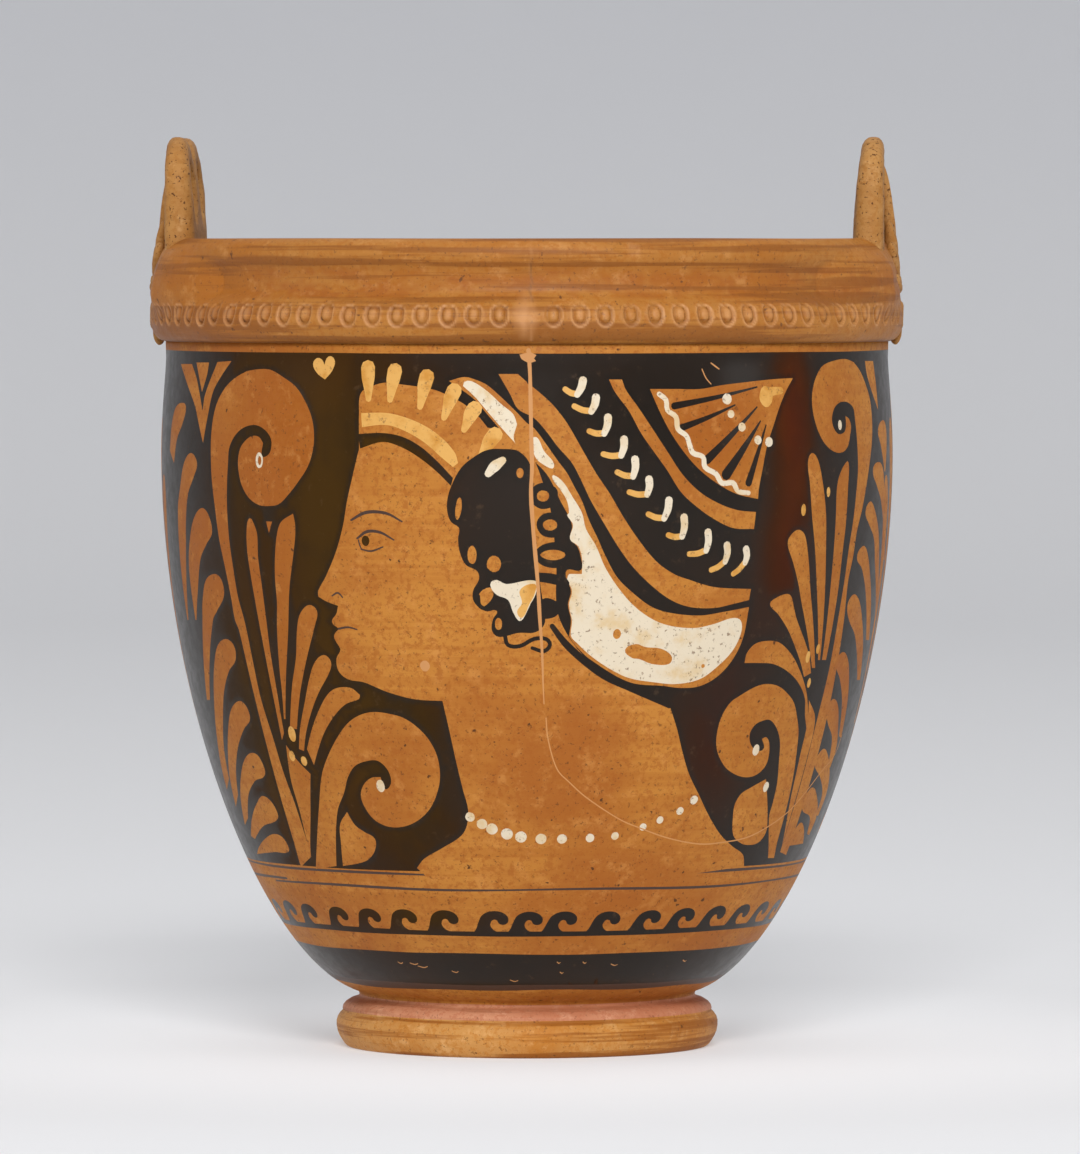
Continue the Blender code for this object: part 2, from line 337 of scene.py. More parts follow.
# A leaf whose left edge mirrors its right one
def evenLeaf(top, edge, land):
    leaf((0, top), [(-across, up) for across, up in edge], edge, land)


# Leaves from text, with a semicolon between two leaves and each as "top | left edge | right edge"
def leaves(text):
    for one in text.split(";"):
        top, left, right = (spots(part) for part in one.split("|"))
        leaf(top[0], left, right)


# The same outlines again on the other side of a handle, for the vessel's back
def mirrorLayers(first, last, axis):
    across = math.radians(axis) * wall["sheetRadius"]
    for name, outline in layers[first:last]:
        layers.append((name, [Vector((2 * across - point.x, point.y)) for point in reversed(outline)]))


# A level band round the whole wall between two heights in millimetres, its edges wavering a little
def band(name, low, high, waver, seed):
    lower, upper = [], []
    for index in range(wall["sides"] + 1):
        angle = -180 + 360 * index / wall["sides"]
        turn = math.radians(angle)
        place = Vector((math.cos(turn) * 2.2, math.sin(turn) * 2.2, seed))
        lower.append(sidePoint(angle, low + waver * noise.noise(place)))
        upper.append(sidePoint(angle, high + waver * noise.noise(place + Vector((9, 4, 2)))))
    layers.append((name, lower + upper[::-1]))


# Level of a picture point in millimetres over the table
def levelOf(x, y):
    return lookUp(wallPoint(x, y).y, 0, 2)


# Ground, rings and reserved bands of the wall. Everything that no paint covers is bare clay.
def paintBands():
    ringOne = levelOf(500, 875.5)
    ringTwo = levelOf(500, 890)
    dogLow = levelOf(540, 936.5)
    lowTop = levelOf(530, 954.5)
    lowFoot = levelOf(530, 986)
    band("gloss", ringOne + 0.9, levelOf(540, 353.5), 0.3, 1.0)
    band("brown", ringOne - 0.34, ringOne + 0.34, 0.4, 2.0)
    for start, end, level in ((-64, 183, ringTwo), (176, 302, ringTwo + 0.7)):
        turns = [start + (end - start) * index / 40 for index in range(41)]
        for shift in (0, -360):
            stroke("brown", [
                (angle + shift, level + 0.25 * math.sin(angle * 0.11), 1.9 + 1.1 * abs(math.sin(angle * 0.05)))
                for angle in turns
            ], sidePoint)
    band("gloss", dogLow, dogLow + 1.5, 0.3, 4.0)
    band("gloss", lowFoot, lowTop, 0.5, 5.0)
    band("brown", lowFoot - 1.6, lowFoot + 0.2, 0.7, 6.0)


# The running-dog wave: where its hooks stand on the picture side, and how far apart they follow behind, in degrees
waveFront = (-64.8, -55.6, -44.8, -35.4, -26.3, -16.5, -5.4, 2.2, 9.6, 19.8, 29.6, 38.8, 48.3, 57.8, 67.2)
waveBehind = {"step": 9.5, "count": 23}


# Each hook springs from the base line and curls over to the right
def paintWave():
    base = levelOf(540, 936.5) + 0.8
    behind = [waveFront[-1] + waveBehind["step"] * (index + 1) for index in range(waveBehind["count"])]
    for crest in (*waveFront, *behind):
        crest = crest if crest <= 180 else crest - 360
        small = 0.92 + 0.1 * wander(crest * 0.21, 3, 1)
        lean = 0.5 * wander(crest * 0.17, 8, 2)

        def hook(a, b):
            return sidePoint(crest + a * small + lean * b * 0.1, base + b * small)

        outline = spots("""-6.4,-0.6,1 -5.2,0.3 -4.3,1.6 -3.6,3.6 -2.6,5.9 -0.8,7.2 1.4,7.3 3.0,6.3 3.6,4.9 3.3,3.5
            2.2,2.9 1.2,3.4 0.9,4.3 0.2,4.6 -0.5,4.0 -0.8,3.0 -0.5,1.8 0.3,0.9 1.6,0.4 3.0,0.3 4.0,-0.6,1""")
        paint("gloss", outline, hook)


# Scrolls and palmettes left of the head, and the front half of the palmette under the left handle.
# The wedges at the top are clay left free by the painter.
def paintLeftOrnament():
    first = len(layers)
    paint("clay", """181,364,1 192,364,1 197,380 202.7,411,1 205,395 217.5,362,1 231.5,361,1 222,375 213,392 207.5,417
        203,443,1 199,425 195,406 188,386""")
    paint("clay", "196.5,362.5,1 209,362.5,1 207,375 202,392,1")
    # upper scroll, its stem running down to the palmette's root
    paint("clay", """247,371,1 261,369 271,370 283,377 296,387 306,403 312,419 314,435 313,449 308,466 298,482 288,495
        279,504 269,506 259,505 249,498 242,486 239,474 238,461 240,449 245,441 252,436 259,437 263,443,1 262,456
        268,455 271,449 271,439 265,430 255,425 243,428 234,437 229,449 228,463 227,482 227,508 229,538 233,567 238,597
        245,623 252,657 261,699 273,738 284,774 296,807 309,848 311,857,1 301,867,1 293,839 282,802 270,758 259,715
        248.5,671 239,630 235,620 231,597 225,567 219,538 215,508 212,482 211,463 211,439 213,419 217,403 225,388
        235,378""")
    # upright palmette
    leaves("""250,518 | 247,524 247,548 251,577 255,600 263.5,646 270,680 277,715 282,740 | 253,522 257,534 258,557
        262,587 266,618 270,650 277,692 284,733; 293,513.6,1 | 281,522 277,534 275,557 275,577 277,603 277,627
        279.5,669 282,692 284,719 | 295,524 295,538 292.5,561 289.5,587 288,634 286,676 285.5,719""")
    paint("clay", "266,521.5,1 272,521.5,1 269,533,1")
    leaves("""309,605 | 300,614 297,630 296,657 292,687 290,729 | 317,611 315,625 308,653 301,687 298,712 297,729;
        324,655 | 315,662 309,680 305,701 300,729 299,749 | 331,662 329,673 319,692 312,710 306,733 304,751""")
    paint("clay", """337,688 328,694 319,710 312,729 307,749,1 314,765,1 319,747 325,731 335,715 346,704 359,699
        360,695,1 351,688""")
    paint("clay", "286,745,1 297,760 310.5,774,1 310.5,815 310.5,852 311,857,1 300,812 291,780")
    # lower scroll with its stem, and the leaf under it
    paint("clay", """316,869,1 317,841 319,807 322,774 328,756 337,738 348,723 360,715 374,712 390,714 403.5,718
        417,727 429,740 437,756 440,774 438,790 431,807 420,819 406,826 390,827 376,821 367,811 361,797 363,786 371,778
        380.5,777,1 385,789 390,786 391,779 387,769 378,761 367,761 355,766 348,777 344,793 338,809 336,830 336,850
        336.5,866,1""")
    paint("clay", "347,812,1 355,825 364.5,832 375,839 375,850 369,859 360,863 343,866,1 341,843 340,825")
    # the half of the palmette under the left handle that faces the picture side
    leaves("""184,403 | 176,407 172,423 170,451 | 186,409 182,425 177,439 174,463; 191,453 | 184,463 180,488 178,508
        180,557 187.5,620 | 197,463 194,476 188,494 186,518 186,548 188.5,620; 201.5,508 | 194,518 190,538 189,567
        195.5,620 | 208,514 212,532 206.5,544 200.5,559 198,587 196.5,620; 214,574 | 205.5,581 202.5,603 202.5,620
        207,700 | 221,579 224,595 217,611 213,620 210,700; 226,639 | 217.5,646 214,669 214,699 216,729 221,765 227,790
        | 234,646 235.5,660 229,671 224,692 223,719 224,749 229,779; 239,701 | 231,710 228,733 228,756 230,779 236,807
        | 246,706 250,719 244,729 238,747 236,770 238,795; 251,753 | 244,761 240.5,781 241,802 245,825 | 259,757
        265,774 255,781 248.5,795 248,818; 263,796 | 257,803 252,818 251,836 | 273,804 278,818 263.5,826 255,839;
        275,834 | 266,838 259,847 257,854 | 284,839 289,851 275,852""")
    mirrorLayers(first, len(layers), -90)


# The same kinds of ornament right of the head
def paintRightOrnament():
    first = len(layers)
    paint("clay", "865,361,1 873,361,1 876,385 878,410,1 872,392 867,375")
    paint("clay", """853.5,362,1 845,359 833,361 822.5,366 816.5,376 813,388 812,402 814,417 819,433 826,445 835,452
        843,452 848,446 850,436 851,426 849,419 845.5,416,1 846,424 845,431 841,434 837,433 833,426 832,417 835,407
        841,402 848,402.5 853.5,408.5 855,419 857,439.5 858,470 856,496 853.5,519 849,548 845,577 838,620 829,670
        817,720 804,772 790,820 780,852,1 786,855,1 800,815 813,772 826,722 836,672 844,620 848,582 853,557 857,531
        862,510 866,488 870,460 872,439.5 872,419 870,400 865.5,384 860,371""")
    leaves("""812,453 | 808,462 810,484 812,514 815,548 817,591 818,660 | 818,460 823,484 826,514 826,548 825,591
        820,660; 847.5,461 | 840,474 837,488 836,514 834,548 831,582 822,660 | 849,467 848,488 846,522 842,557 838,591
        826,660; 797,530 | 789,538 788,546 793,562 798,582 802,605 812,668 | 803,532 806,539 809,565 810.5,591 813,620
        815,668; 786,594 | 776,598 770,604 778,614 787,628 794,644 801,664 804,677 | 791,596 794,608 797,620 809,655
        811,673""")
    paint("clay", """744.5,663,1 747,653 755,644 766,641 778,642 787,649 796,662 806,690 808,715 806.5,729,1 805,715
        805,699 798.5,683 787,671 773,664 759,663""")
    paint("clay", "809,700,1 815,720 806,762 793,808 782,845,1 790,802 800,756 807,725")
    # lower scroll, its stem and the rounded leaf beside it
    paint("clay", """778,686 766,684 755,687 741,695 730,703 721.5,717 717,733 716.5,747 720,758.5 727,769 739,776
        750,777 759,773 766,765 769,754 769,742 766,737 762,739,1 764,748 760,751 754,749 750,742 750,733 755,725
        762,721 770,720 777,729 780,742 779,761 777,784 773,802 769,818 768,858,1 774,858,1 777,843 782,825 788,802
        794,772 797,749 798.5,731 797,717 794,703 787,693""")
    paint("clay", """733,816 735,804 741,794 750,788 766,779,1 767,795 767.5,818 766,832 759,842 748,845 739,842
        733,834""")
    # the half of the palmette under the right handle that faces the picture side
    leaves("""883,420 | 878,430 881,446 884.5,471 | 886,428 886.5,448 885.2,472; 878.5,462 | 873,470 877,486 881,501
        883.8,560 | 883,469 884.5,496 884.4,560; 870,501.5 | 865.5,512 869,524 874,539 875,565 875,620 | 874,507
        878.5,531 879,565 876,620; 863,546 | 857,557 862,569 865.5,591 866,640 | 867,551 870,574 871,600 869,640;
        853.5,594.5 | 847.5,605 849,620 855,636 857,680 | 859,600 862,618 863,645 860,680; 843,652 | 836,662 840,680
        842,700 839,736 | 848,660 849,680 847,705 841,738; 833,699 | 827,710 828,724 832,738 828,766 | 838,706 838,729
        836,749 830,768; 823,749 | 815,763 820,777 822,795 816,815 | 828,756 829.5,774.5 826,795 818,816; 811,788 |
        802,807 810,818 807,834 | 817,797.5 816,818 809,835; 800,823 | 790,839 787,846 | 804,830 803,843.5""")
    mirrorLayers(first, len(layers), 90)


# Head in profile with neck and shoulders. The face is a plain classical one in three equal parts:
# hairline to brow, brow to nostril and nostril to chin.
face = {"hairline": 449, "third": 76.5, "front": 352}


# Face points from text: how far behind the front line in picture points, how many thirds down, and a third number
def facePoints(text):
    return [(face["front"] + back, face["hairline"] + face["third"] * down, *more) for back, down, *more in spots(text)]


def paintHead():
    # forehead and nose in one gentle line, then lips, chin and jaw
    profile = facePoints("""7,0,1 1,0.33 -5,0.68 -9,1.0 -16,1.34 -26,1.66 -34,1.86 -33.5,1.93,1 -26,1.99 -14,2.05,1
        -15.5,2.15 -20,2.26 -13,2.35,1 -18,2.44 -15,2.54 -11.5,2.62 -15.5,2.74 -13.5,2.90 -4,3.01 12,3.05 34,3.17
        62,3.27""")
    paint("clay", [*profile, *spots("""442.5,701,1 449,729 456,761 463,790 468,809 467,825 461,836 442.5,848 424,859
        417,868,1 430,880,1 640,880,1 744,866,1 743,855 732,846 720,834 709,816 699,795 689,774 682.5,752 677,729
        669,704,1 640,692 600,672 560,620 556,560 548,500 520,440 470,425 420,420,1 385,410,1 359,432,1""")])
    # brow, eye and lips as thin drawn lines
    for line in (
        "-1,0.93,2.2 14,0.83,3.4 34,0.84,3.0 50,0.95,1.6", "5,1.17,2.0 15,1.08,3.2 28,1.09,2.6 42,1.19,1.4",
        "9,1.31,1.4 19,1.335,2.0 31,1.28,1.4", "6.5,1.19,1.4 7.5,1.25,1.4 9.5,1.31,1.4",
    ):
        stroke("brown", facePoints(line))
    dab("gloss", *facePoints("13.5,1.20")[0], 8.5, 10.5)
    for line in ("-20,1.92,1.6 -14,1.88,2.0 -9.5,1.94,1.6", "-13.5,2.35,2.2 -4,2.33,2.0 5,2.36,1.4"):
        stroke("brown", facePoints(line))


def paintHairAndBand():
    # diadem with its painted drops and arc
    paint("clay", """359,433,1 359,415 361,393 373.5,385.5 387,382.5 402,384.5 417,386.5 435,390 447,395 462.5,403
        470,409 480,418,1 490,432 494,450,1 471,459 455,480,1 437,461 421,447 403,437 383,433""")
    # edge of the hair under the diadem
    paint("gloss", """358,434,1 383,433 403,437 421,447 437,461 453,478,1 451,486,1 437,472 421,459 403,448 383,442
        360,448.5,1""")
    paint("yellow", """361,413,1 387,413 407,418 427,427 443,439 455,453 458,463,1 453,467,1 441,457 425,443 407,432
        387,425 362,427,1""")
    for x, y, tailX, tailY in spots("""368,364,368.5,399 395,367,390,400 427,373,420,407 454.5,387,444,418
        475,405,464,430 495.5,431,480,459"""):
        midX, midY = x + (tailX - x) * 0.35, y + (tailY - y) * 0.35
        middle, low = (midX, midY, 14), ((midX + tailX) / 2, (midY + tailY) / 2, 9.5)
        stroke("yellow", [(x, y + 3, 15), middle, low, (tailX, tailY, 6)])
    # hair in front of the ear, with locks left in clay
    paint("gloss", """487,450 471,459 461,468 453,482 448,496 447,510 451,522 459,528 458,539 460,553 466,565 477,571
        479,579 473,591 474,602 485,611 497,611 493,619 492,631 499,637 518,633 536,632 545,622 541,590 537,560 534,520
        533,480 529,462 518,451 504,449""")
    for x, y, width, height, tilt in spots("""458.5,508.5,6,22,8 472,555,9,18,0 494,564,14,16,0 485,597,13,22,35
        498.5,624,7,12,0 520,473,7,10,0"""):
        dab("clay", x, y, width, height, tilt)
    # curls behind the ear
    for x, y, width, height in spots("544,496,28,26 552,525,30,25 557,555,44,26"):
        dab("gloss", x, y, width, height)
    stroke("gloss", "538,577,9 553,579,10 565,584,10 561,593,7")
    paint("gloss", "541,601 548,598 560,605 559,613 552,618 541,617")
    for x, y, width, height in spots("543,496,12,11 550,525,14,11 553,555,24,10"):
        dab("clay", x, y, width, height)
    stroke("gloss", "505,636,4 508,645,4 520,646,4 534,639,4 546,639,4 550,645,4 544,651,4 532,648,3.5")
    stroke("gloss", "478,596,4 480,606,4 490,609,4 498,603,3.5")
    stroke("white", "488,474,7 494,467,11 503,460,7")
    paint("white", "491,582 497,580 506,584 536,581 536,593 530,605 523,619 519,621 513,612 508,600 497,595 491,588")
    paint("yellow", "520,590 535,584 535,593 529,605 522,618 517,612 522,603")


def paintHeaddress():
    # clay ground of the white part, its upper edge standing against the black
    paint("clay", """449,381,1 464,377 475,379.5 487,385 501,397 515.5,411 527,423 534,428 546,444 558,461 567,473
        574.5,487 582,501 589,520 598,539 605,555 617,577 633,593 652,607 671,613 700,615.5 723,612 749,607,1 743,638
        733,659 718,676 700,686 681,688 664,686 629,682 591,660 575,645 569,636,1 571,620 568,605 571,591 566,579,1
        567,570 581,570 581,558 577,546 570,539 572,525 560,500 548,476 535,462 527,456 511,441 499,428 487,414 475,400
        462,390""")
    paint("white", """463,386,1 464,382 471,381 487,391 501,404 513,414 517,424,1 514,440 525,453,1 521,449 511,438.5
        499,425 487,411 475,397""")
    paint("white", "534,437 544,451 554,467 541,463 534,454")
    paint("white", """553,475 563,482 572,496 582,513 586,529 596,546 605,567 617,586 633,605 652,619 671,626 695,628
        714,624 733,618 741,621 741,633 733,650 718,666 700,679 676,684 652,682 629,678 610,669 591,656 577,643 571,636
        572,621 569,605 572,591 567,579 569,574,1 582,574,1 582,558 578,546 570,539 573,525 567,515 569,513 567,501
        560,489 553,480""")
    dab("clay", 617, 634, 8, 10)
    paint("clay", "625,650 636,644 645,647 662,649 672,657 669,664 652,664 639,659 632,658")
    dab("clay", 703, 666, 4, 4)
    # nape line under the white
    stroke("gloss", "552,626,5 565,643,7 582,659,7.5 605,676,7.5 629,687,7.5 652,697,7.5 670,705,7")
    # first clay band, with a thin black line between it and the white part
    paint("clay", """498.5,374,1 518,374,1 528,383 539,392 553,405 567,423 582,449 596,473 610,494 624,518 641,543
        657,562 674,574 690,580 709,586 723,588 751,589,1 749,600,1 733,604 714,608 690,607 671,600 652,586 633,567
        619,548 605,525 591,501 582,482 572,463 558,447 546,431 534,418 518,409 510,394""")
    # second clay band
    paint("clay", """609,379.5,1 622,379.5,1 626,390 638,407 652,428 667,451 683,475 700,492 718,503 737,510 756,512,1
        754,529,1 733,528 714,519 697,507 681,492 667,470 652,449 641,433 629,411 615,392""")
    # hooked ticks, white at the top and yellow at the foot
    for tick in (
        "583,380 577,394 565,389", "596,397 591,411 574,406", "608,417 604,433 589,431", "624,439 621,455 603,454",
        "635,459 633,476 617,472", "649,479 647,494 629,492", "669,500 664,518 648,514", "684,517 682,536 668,535",
        "708,532 706,550 689,554", "727,545 725,561 711,570", "746,549 745,562 733,574",
    ):
        top, (x, y), foot = spots(tick)
        stroke("yellow", [(*foot, 5.5), ((foot[0] + x) / 2, (foot[1] + y) / 2 + 1.5, 6), (x, y, 6)])
        stroke("white", [(*top, 8), ((top[0] + x) / 2 + 1.5, (top[1] + y) / 2, 7.5), (x, y + 1, 6)])


def paintFan():
    paint("clay", """650,389,1 676,389 700,389 723,385 770,379.5 793,378,1 786,391 779.5,407 774,424 767,446 763,467
        759,488 758,499,1 737,494 718,484 700,470 685.5,454 671,433 659.5,411""")
    for x, y, endX, endY, width in spots(
        "674,406,757,387,7 681,428,735,405,7 707,460,757,407,9 726,475,760.5,421,11 748.5,483,766,425,8"
    ):
        stroke("gloss", [(x, y, width), ((x + endX) / 2, (y + endY) / 2 + 1, width * 0.62), (endX, endY, 1.6)])
    stroke("white", """659,394,5 666,400,5 667.5,410,5 676,417,5.5 678,429,5 686.5,436,5 690,446,5.5 693,453,5
        703,457,5.5 705,467,5 716,474,5.5 722,483,5 733,483,5.5 738,491,5 749,493,4.5""")
    for x, y, size in spots("727,399,11 731,414,8 742,427,9 758,440,9 769,442,10"):
        dab("white", x, y, size, size)
    dab("yellow", 766, 396.5, 17, 21)
    stroke("yellow", "768,392,10 775,391,8 781,390.5,7")


def paintDots():
    for x, y, width, height in spots("""292,734,10,16 292,756,8,11 304,761,8,10 828.5,492,6,10 803.6,510,7,12
        818,649,6,10 808,657,7,12 809,683,6,10"""):
        dab("yellow", x, y, width, height)
    for x, y, width, height in spots("380.5,786,9,13 840,425,7,10 756,750,9,12 766,787,8,11"):
        dab("white", x, y, width, height)
    dab("white", 259.3, 460.2, 10.5, 15.5)
    dab("clay", 259.6, 460.6, 5, 9)
    for index, (x, y) in enumerate(spots("""470,817 482,824 492,829 507,834 521,837 541,839 562,839 590,838 615,836
        643,827 660,820 680,811 694,800""")):
        size = 8.5 + 2.2 * math.sin(index * 0.5)
        dab("white", x, y, size + 1, size + 1.5)
    paint("yellow", "325,379.5,1 317,373 313,364 317,358 322,359.5 324.5,365,1 326.5,358.5 331,356 335,361 332,371")


# Mended break and a fine crack
def paintMends():
    stroke("filler", """528.5,350,4.2 530,374,3.4 530.5,398,4.0 531,421,3.6 531.5,445,4.2 532,468,3.4 531,492,4.2
        533,527,3.5 534.5,545,4.1 536,562,3.4 538,586,3.8 540,621,3.0 542,650,2.4 543,680,1.6 544,704,1.0""")
    paint("filler", """519.5,354.5,1 526,353 530,351.5,1 533,353.5 536.5,355,1 534,358.5 536,361,1 532,362.5,1
        527.5,362.5,1 521.5,359""")
    stroke("crack", """546,718,1.2 548,739,1.3 557,769,1.2 569,782,1.3 587,798,1.2 619,819,1.3 640,828,1.4 668,838,1.3
        700,844,1.5 725,842,1.4 748,837,1.6 769,826,1.5 789,811,1.6 805,793,1.6 821,772,1.6 835,754,1.4 842,735,1.2""")
    dab("filler", 425, 666, 10, 11)
    stroke("filler", "711,363,1.2 715,366,1.6 719,369,1.2")
    stroke("filler", "702,369,1.0 706,378,1.2 711,384,1.0")
    # chips in the lowest black band
    for x, y, long in spots("""398,962,3 410,963,5 418,966,6 452,971,4 510,980,5 557,962,2 583,962,2 611,964,4
        683,960,2 560,972,2"""):
        stroke("filler", [(x, y, 1.0), (x + long, y + 1.5, 1.4), (x + long * 1.6, y + 0.5, 0.8)])


# A plain fan palmette with a scroll on either side for the vessel's back
back = {
    "root": (171, 103),
    "radius": 108,
    "leafTurn": 15.5,
    "leafLength": 76,
    "leafShrink": 3.4,
    "scrollScale": 0.85,
    "scrollRadius": 106,
    "dotReach": 68,
}


def paintBack():
    root = back["root"]
    for index in range(-4, 5):
        turn = math.radians(index * back["leafTurn"])
        length = back["leafLength"] - back["leafShrink"] * abs(index)

        def place(a, b):
            across = math.sin(turn) * b + math.cos(turn) * a
            up = math.cos(turn) * b - math.sin(turn) * a
            angle = root[0] + math.degrees(across / back["radius"])
            return sidePoint(angle, root[1] + up)

        wide = 4.6 if index else 5.6
        evenLeaf(length, [(wide, length - 4), (wide, length - 14), (wide * 0.5, length * 0.45), (0.9, 9)], place)
    scroll = spots("""2,58,1 12,60 24,68 33,80 34,94 26,103 15,101 10,92 14,84 22,84,1 24,90 20,93 17,90 16,95
        23,97 28,90 27,80 19,71 9,66 2,66,1""")
    for side in (1, -1):
        def curl(a, b):
            return sidePoint(root[0] + side * math.degrees(a * back["scrollScale"] / back["scrollRadius"]), b)

        paint("clay", scroll[::side], curl)
    paint("clay", "164,54 171,50 178,54 175,62 171,65 167,62", sidePoint)
    paint("clay", "171,100 169.2,97 169,91 170.5,70,1 171.5,70,1 173,91 172.8,97", sidePoint)
    # later dots of added white between the leaves
    for index in range(8):
        turn = math.radians((index - 3.5) * back["leafTurn"])
        across, up = math.sin(turn) * back["dotReach"], math.cos(turn) * back["dotReach"]
        dab("white", root[0] + math.degrees(across / back["radius"]), root[1] + up, 7, 9, land=sidePoint)


# The tall middle leaves of the palmette under each handle, each as its angle, top and width
def paintUnderHandles():
    for side in (-1, 1):
        for place, top, wide in spots("0,198,4.4 -5.6,189,3.7 5.6,189,3.7 -10.6,172,3.3 10.6,172,3.3"):
            def stand(a, b):
                # each leaf springs from the root and opens outwards towards its top
                share = (b - 66) / (top - 66)
                return sidePoint(side * 90 + place * (0.25 + 0.75 * share**0.8) + math.degrees(a / 108), b)

            low = 74 + abs(place) * 2.2
            edge = [(wide, top - 6), (wide * 0.95, top - 16), (wide * 0.55, (top + low) / 2), (0.8, low)]
            evenLeaf(top, edge, stand)
        root = spots("-4.5,66 0,63 4.5,66 2.5,71 0,73 -2.5,71")
        paint("clay", [(side * 90 + across, height) for across, height in root], sidePoint)


paintBands()
paintUnderHandles()
paintWave()
paintLeftOrnament()
paintRightOrnament()
paintBack()
paintHead()
paintHeaddress()
paintHairAndBand()
paintFan()
paintDots()
paintMends()
print("painting drawn:", len(layers), "shapes")


# Small node-building help, shared by every material
def addNode(tree, kind, values=None, **settings):
    node = tree.nodes.new(kind)
    for key, value in settings.items():
        setattr(node, key, value)
    for key, value in (values or {}).items():
        socket = node.inputs[key]
        if isinstance(value, bpy.types.NodeSocket):
            tree.links.new(value, socket)
        else:
            socket.default_value = value
    return node


def mathNode(tree, operation, first, second, clamp=False):
    return addNode(tree, "ShaderNodeMath", {0: first, 1: second}, operation=operation, use_clamp=clamp).outputs[0]


def times(tree, first, second, clamp=False):
    return mathNode(tree, "MULTIPLY", first, second, clamp)


def plus(tree, first, second):
    return mathNode(tree, "ADD", first, second)


def mixColour(tree, share, first, second):
    return addNode(tree, "ShaderNodeMix", {0: share, 6: first, 7: second}, data_type="RGBA").outputs[2]


# A shade laid over the body where a mask shows it
def tinted(tree, body, mask, strength, shade, clamp=False):
    return mixColour(tree, times(tree, mask, strength, clamp), body, shade)


def ramp(tree, value, low, high, bottom=0.0, top=1.0):
    values = {"Value": value, "From Min": low, "From Max": high, "To Min": bottom, "To Max": top}
    return addNode(tree, "ShaderNodeMapRange", values, interpolation_type="SMOOTHSTEP").outputs[0]


def noiseNode(tree, where, scale, detail, roughness):
    values = {"Vector": where, "Scale": scale, "Detail": detail, "Roughness": roughness}
    return addNode(tree, "ShaderNodeTexNoise", values).outputs[0]


def objectPlace(tree):
    return addNode(tree, "ShaderNodeTexCoord").outputs["Object"]


def stretched(tree, where, scale):
    return addNode(tree, "ShaderNodeMapping", {"Vector": where, "Scale": scale}).outputs[0]


def colour(red, green, blue):
    return (red, green, blue, 1.0)


# Sockets that carry a colour. Every other socket carries a value.
colourSockets = ("Clay", "Redder", "Paler", "Streak", "Colour")


def newGroup(name, inputs, outputs):
    tree = bpy.data.node_groups.new(name, "ShaderNodeTree")
    for side, labels in (("INPUT", inputs), ("OUTPUT", outputs)):
        for label in labels:
            kind = "NodeSocketColor" if label in colourSockets else "NodeSocketFloat"
            tree.interface.new_socket(label, in_out=side, socket_type=kind)
    return tree, tree.nodes.new("NodeGroupInput").outputs, tree.nodes.new("NodeGroupOutput").inputs


def linkAll(tree, wanted, sources):
    for label, source in sources.items():
        tree.links.new(source, wanted[label])


# Fired clay: cloudy reddening, fine dark and pale specks, level streaks from the wheel, worn scuffs, and painted shade
# and a painted highlight on the stamps
def clayGroup():
    inputs = ("Deeper", "GrooveShadeAndCrack", "RidgeHighlightAndMend", "Clay", "Redder", "Paler", "Streak", "Speck", "Streaks", "Clouds")
    tree, given, wanted = newGroup("fired clay", inputs, ("Colour", "Roughness", "Height"))
    where = objectPlace(tree)
    cloud = noiseNode(tree, where, 17.0, 4.0, 0.6)
    fine = noiseNode(tree, where, 160.0, 4.0, 0.7)
    mottle = noiseNode(tree, where, 480.0, 3.0, 0.8)
    speckle = noiseNode(tree, where, 420.0, 2.0, 0.5)
    grain = noiseNode(tree, where, 900.0, 2.0, 0.7)
    level = noiseNode(tree, stretched(tree, where, (9.0, 9.0, 330.0)), 1.0, 4.0, 0.62)
    broad = noiseNode(tree, stretched(tree, where, (14.0, 14.0, 90.0)), 1.0, 3.0, 0.5)
    # fired deeper in places, painted shade in the grooves of the stamps, under the rim and along the crack's own dark
    # line, and a painted highlight on the stamps' ridges and tops that also carries the paler mended strip
    deep = times(tree, given["Deeper"], ramp(tree, fine, 0.25, 0.75, 0.75, 1.1), True)
    body = mixColour(tree, deep, given["Clay"], colour(0.290, 0.078, 0.0065))
    body = tinted(tree, body, ramp(tree, cloud, 0.42, 0.66), given["Clouds"], given["Redder"])
    body = tinted(tree, body, ramp(tree, fine, 0.50, 0.70), 0.50, given["Paler"])
    body = tinted(tree, body, ramp(tree, mottle, 0.48, 0.62), 0.62, given["Redder"])
    streak = ramp(tree, plus(tree, level, times(tree, broad, 0.35)), 0.65, 0.76)
    body = tinted(tree, body, streak, given["Streaks"], given["Streak"])
    dark = times(tree, ramp(tree, grain, 0.60, 0.70), given["Speck"])
    dots = times(tree, ramp(tree, speckle, 0.70, 0.76), times(tree, given["Speck"], 1.6))
    body = mixColour(tree, mathNode(tree, "MAXIMUM", dark, dots, True), body, colour(0.10, 0.035, 0.010))
    # painted shade in the grooves and under the rim, together with the crack's own darkness
    body = tinted(tree, body, given["GrooveShadeAndCrack"], 0.55, colour(0.085, 0.026, 0.0060), True)
    # painted highlight on the ridges and egg tops, together with the paler mended strip
    body = tinted(tree, body, given["RidgeHighlightAndMend"], 0.80, colour(0.66, 0.34, 0.150), True)
    linkAll(tree, wanted, {
        "Colour": body,
        "Roughness": ramp(tree, fine, 0.3, 0.7, 0.46, 0.62),
        "Height": plus(tree, times(tree, level, 0.6), times(tree, grain, 0.35)),
    })
    return tree


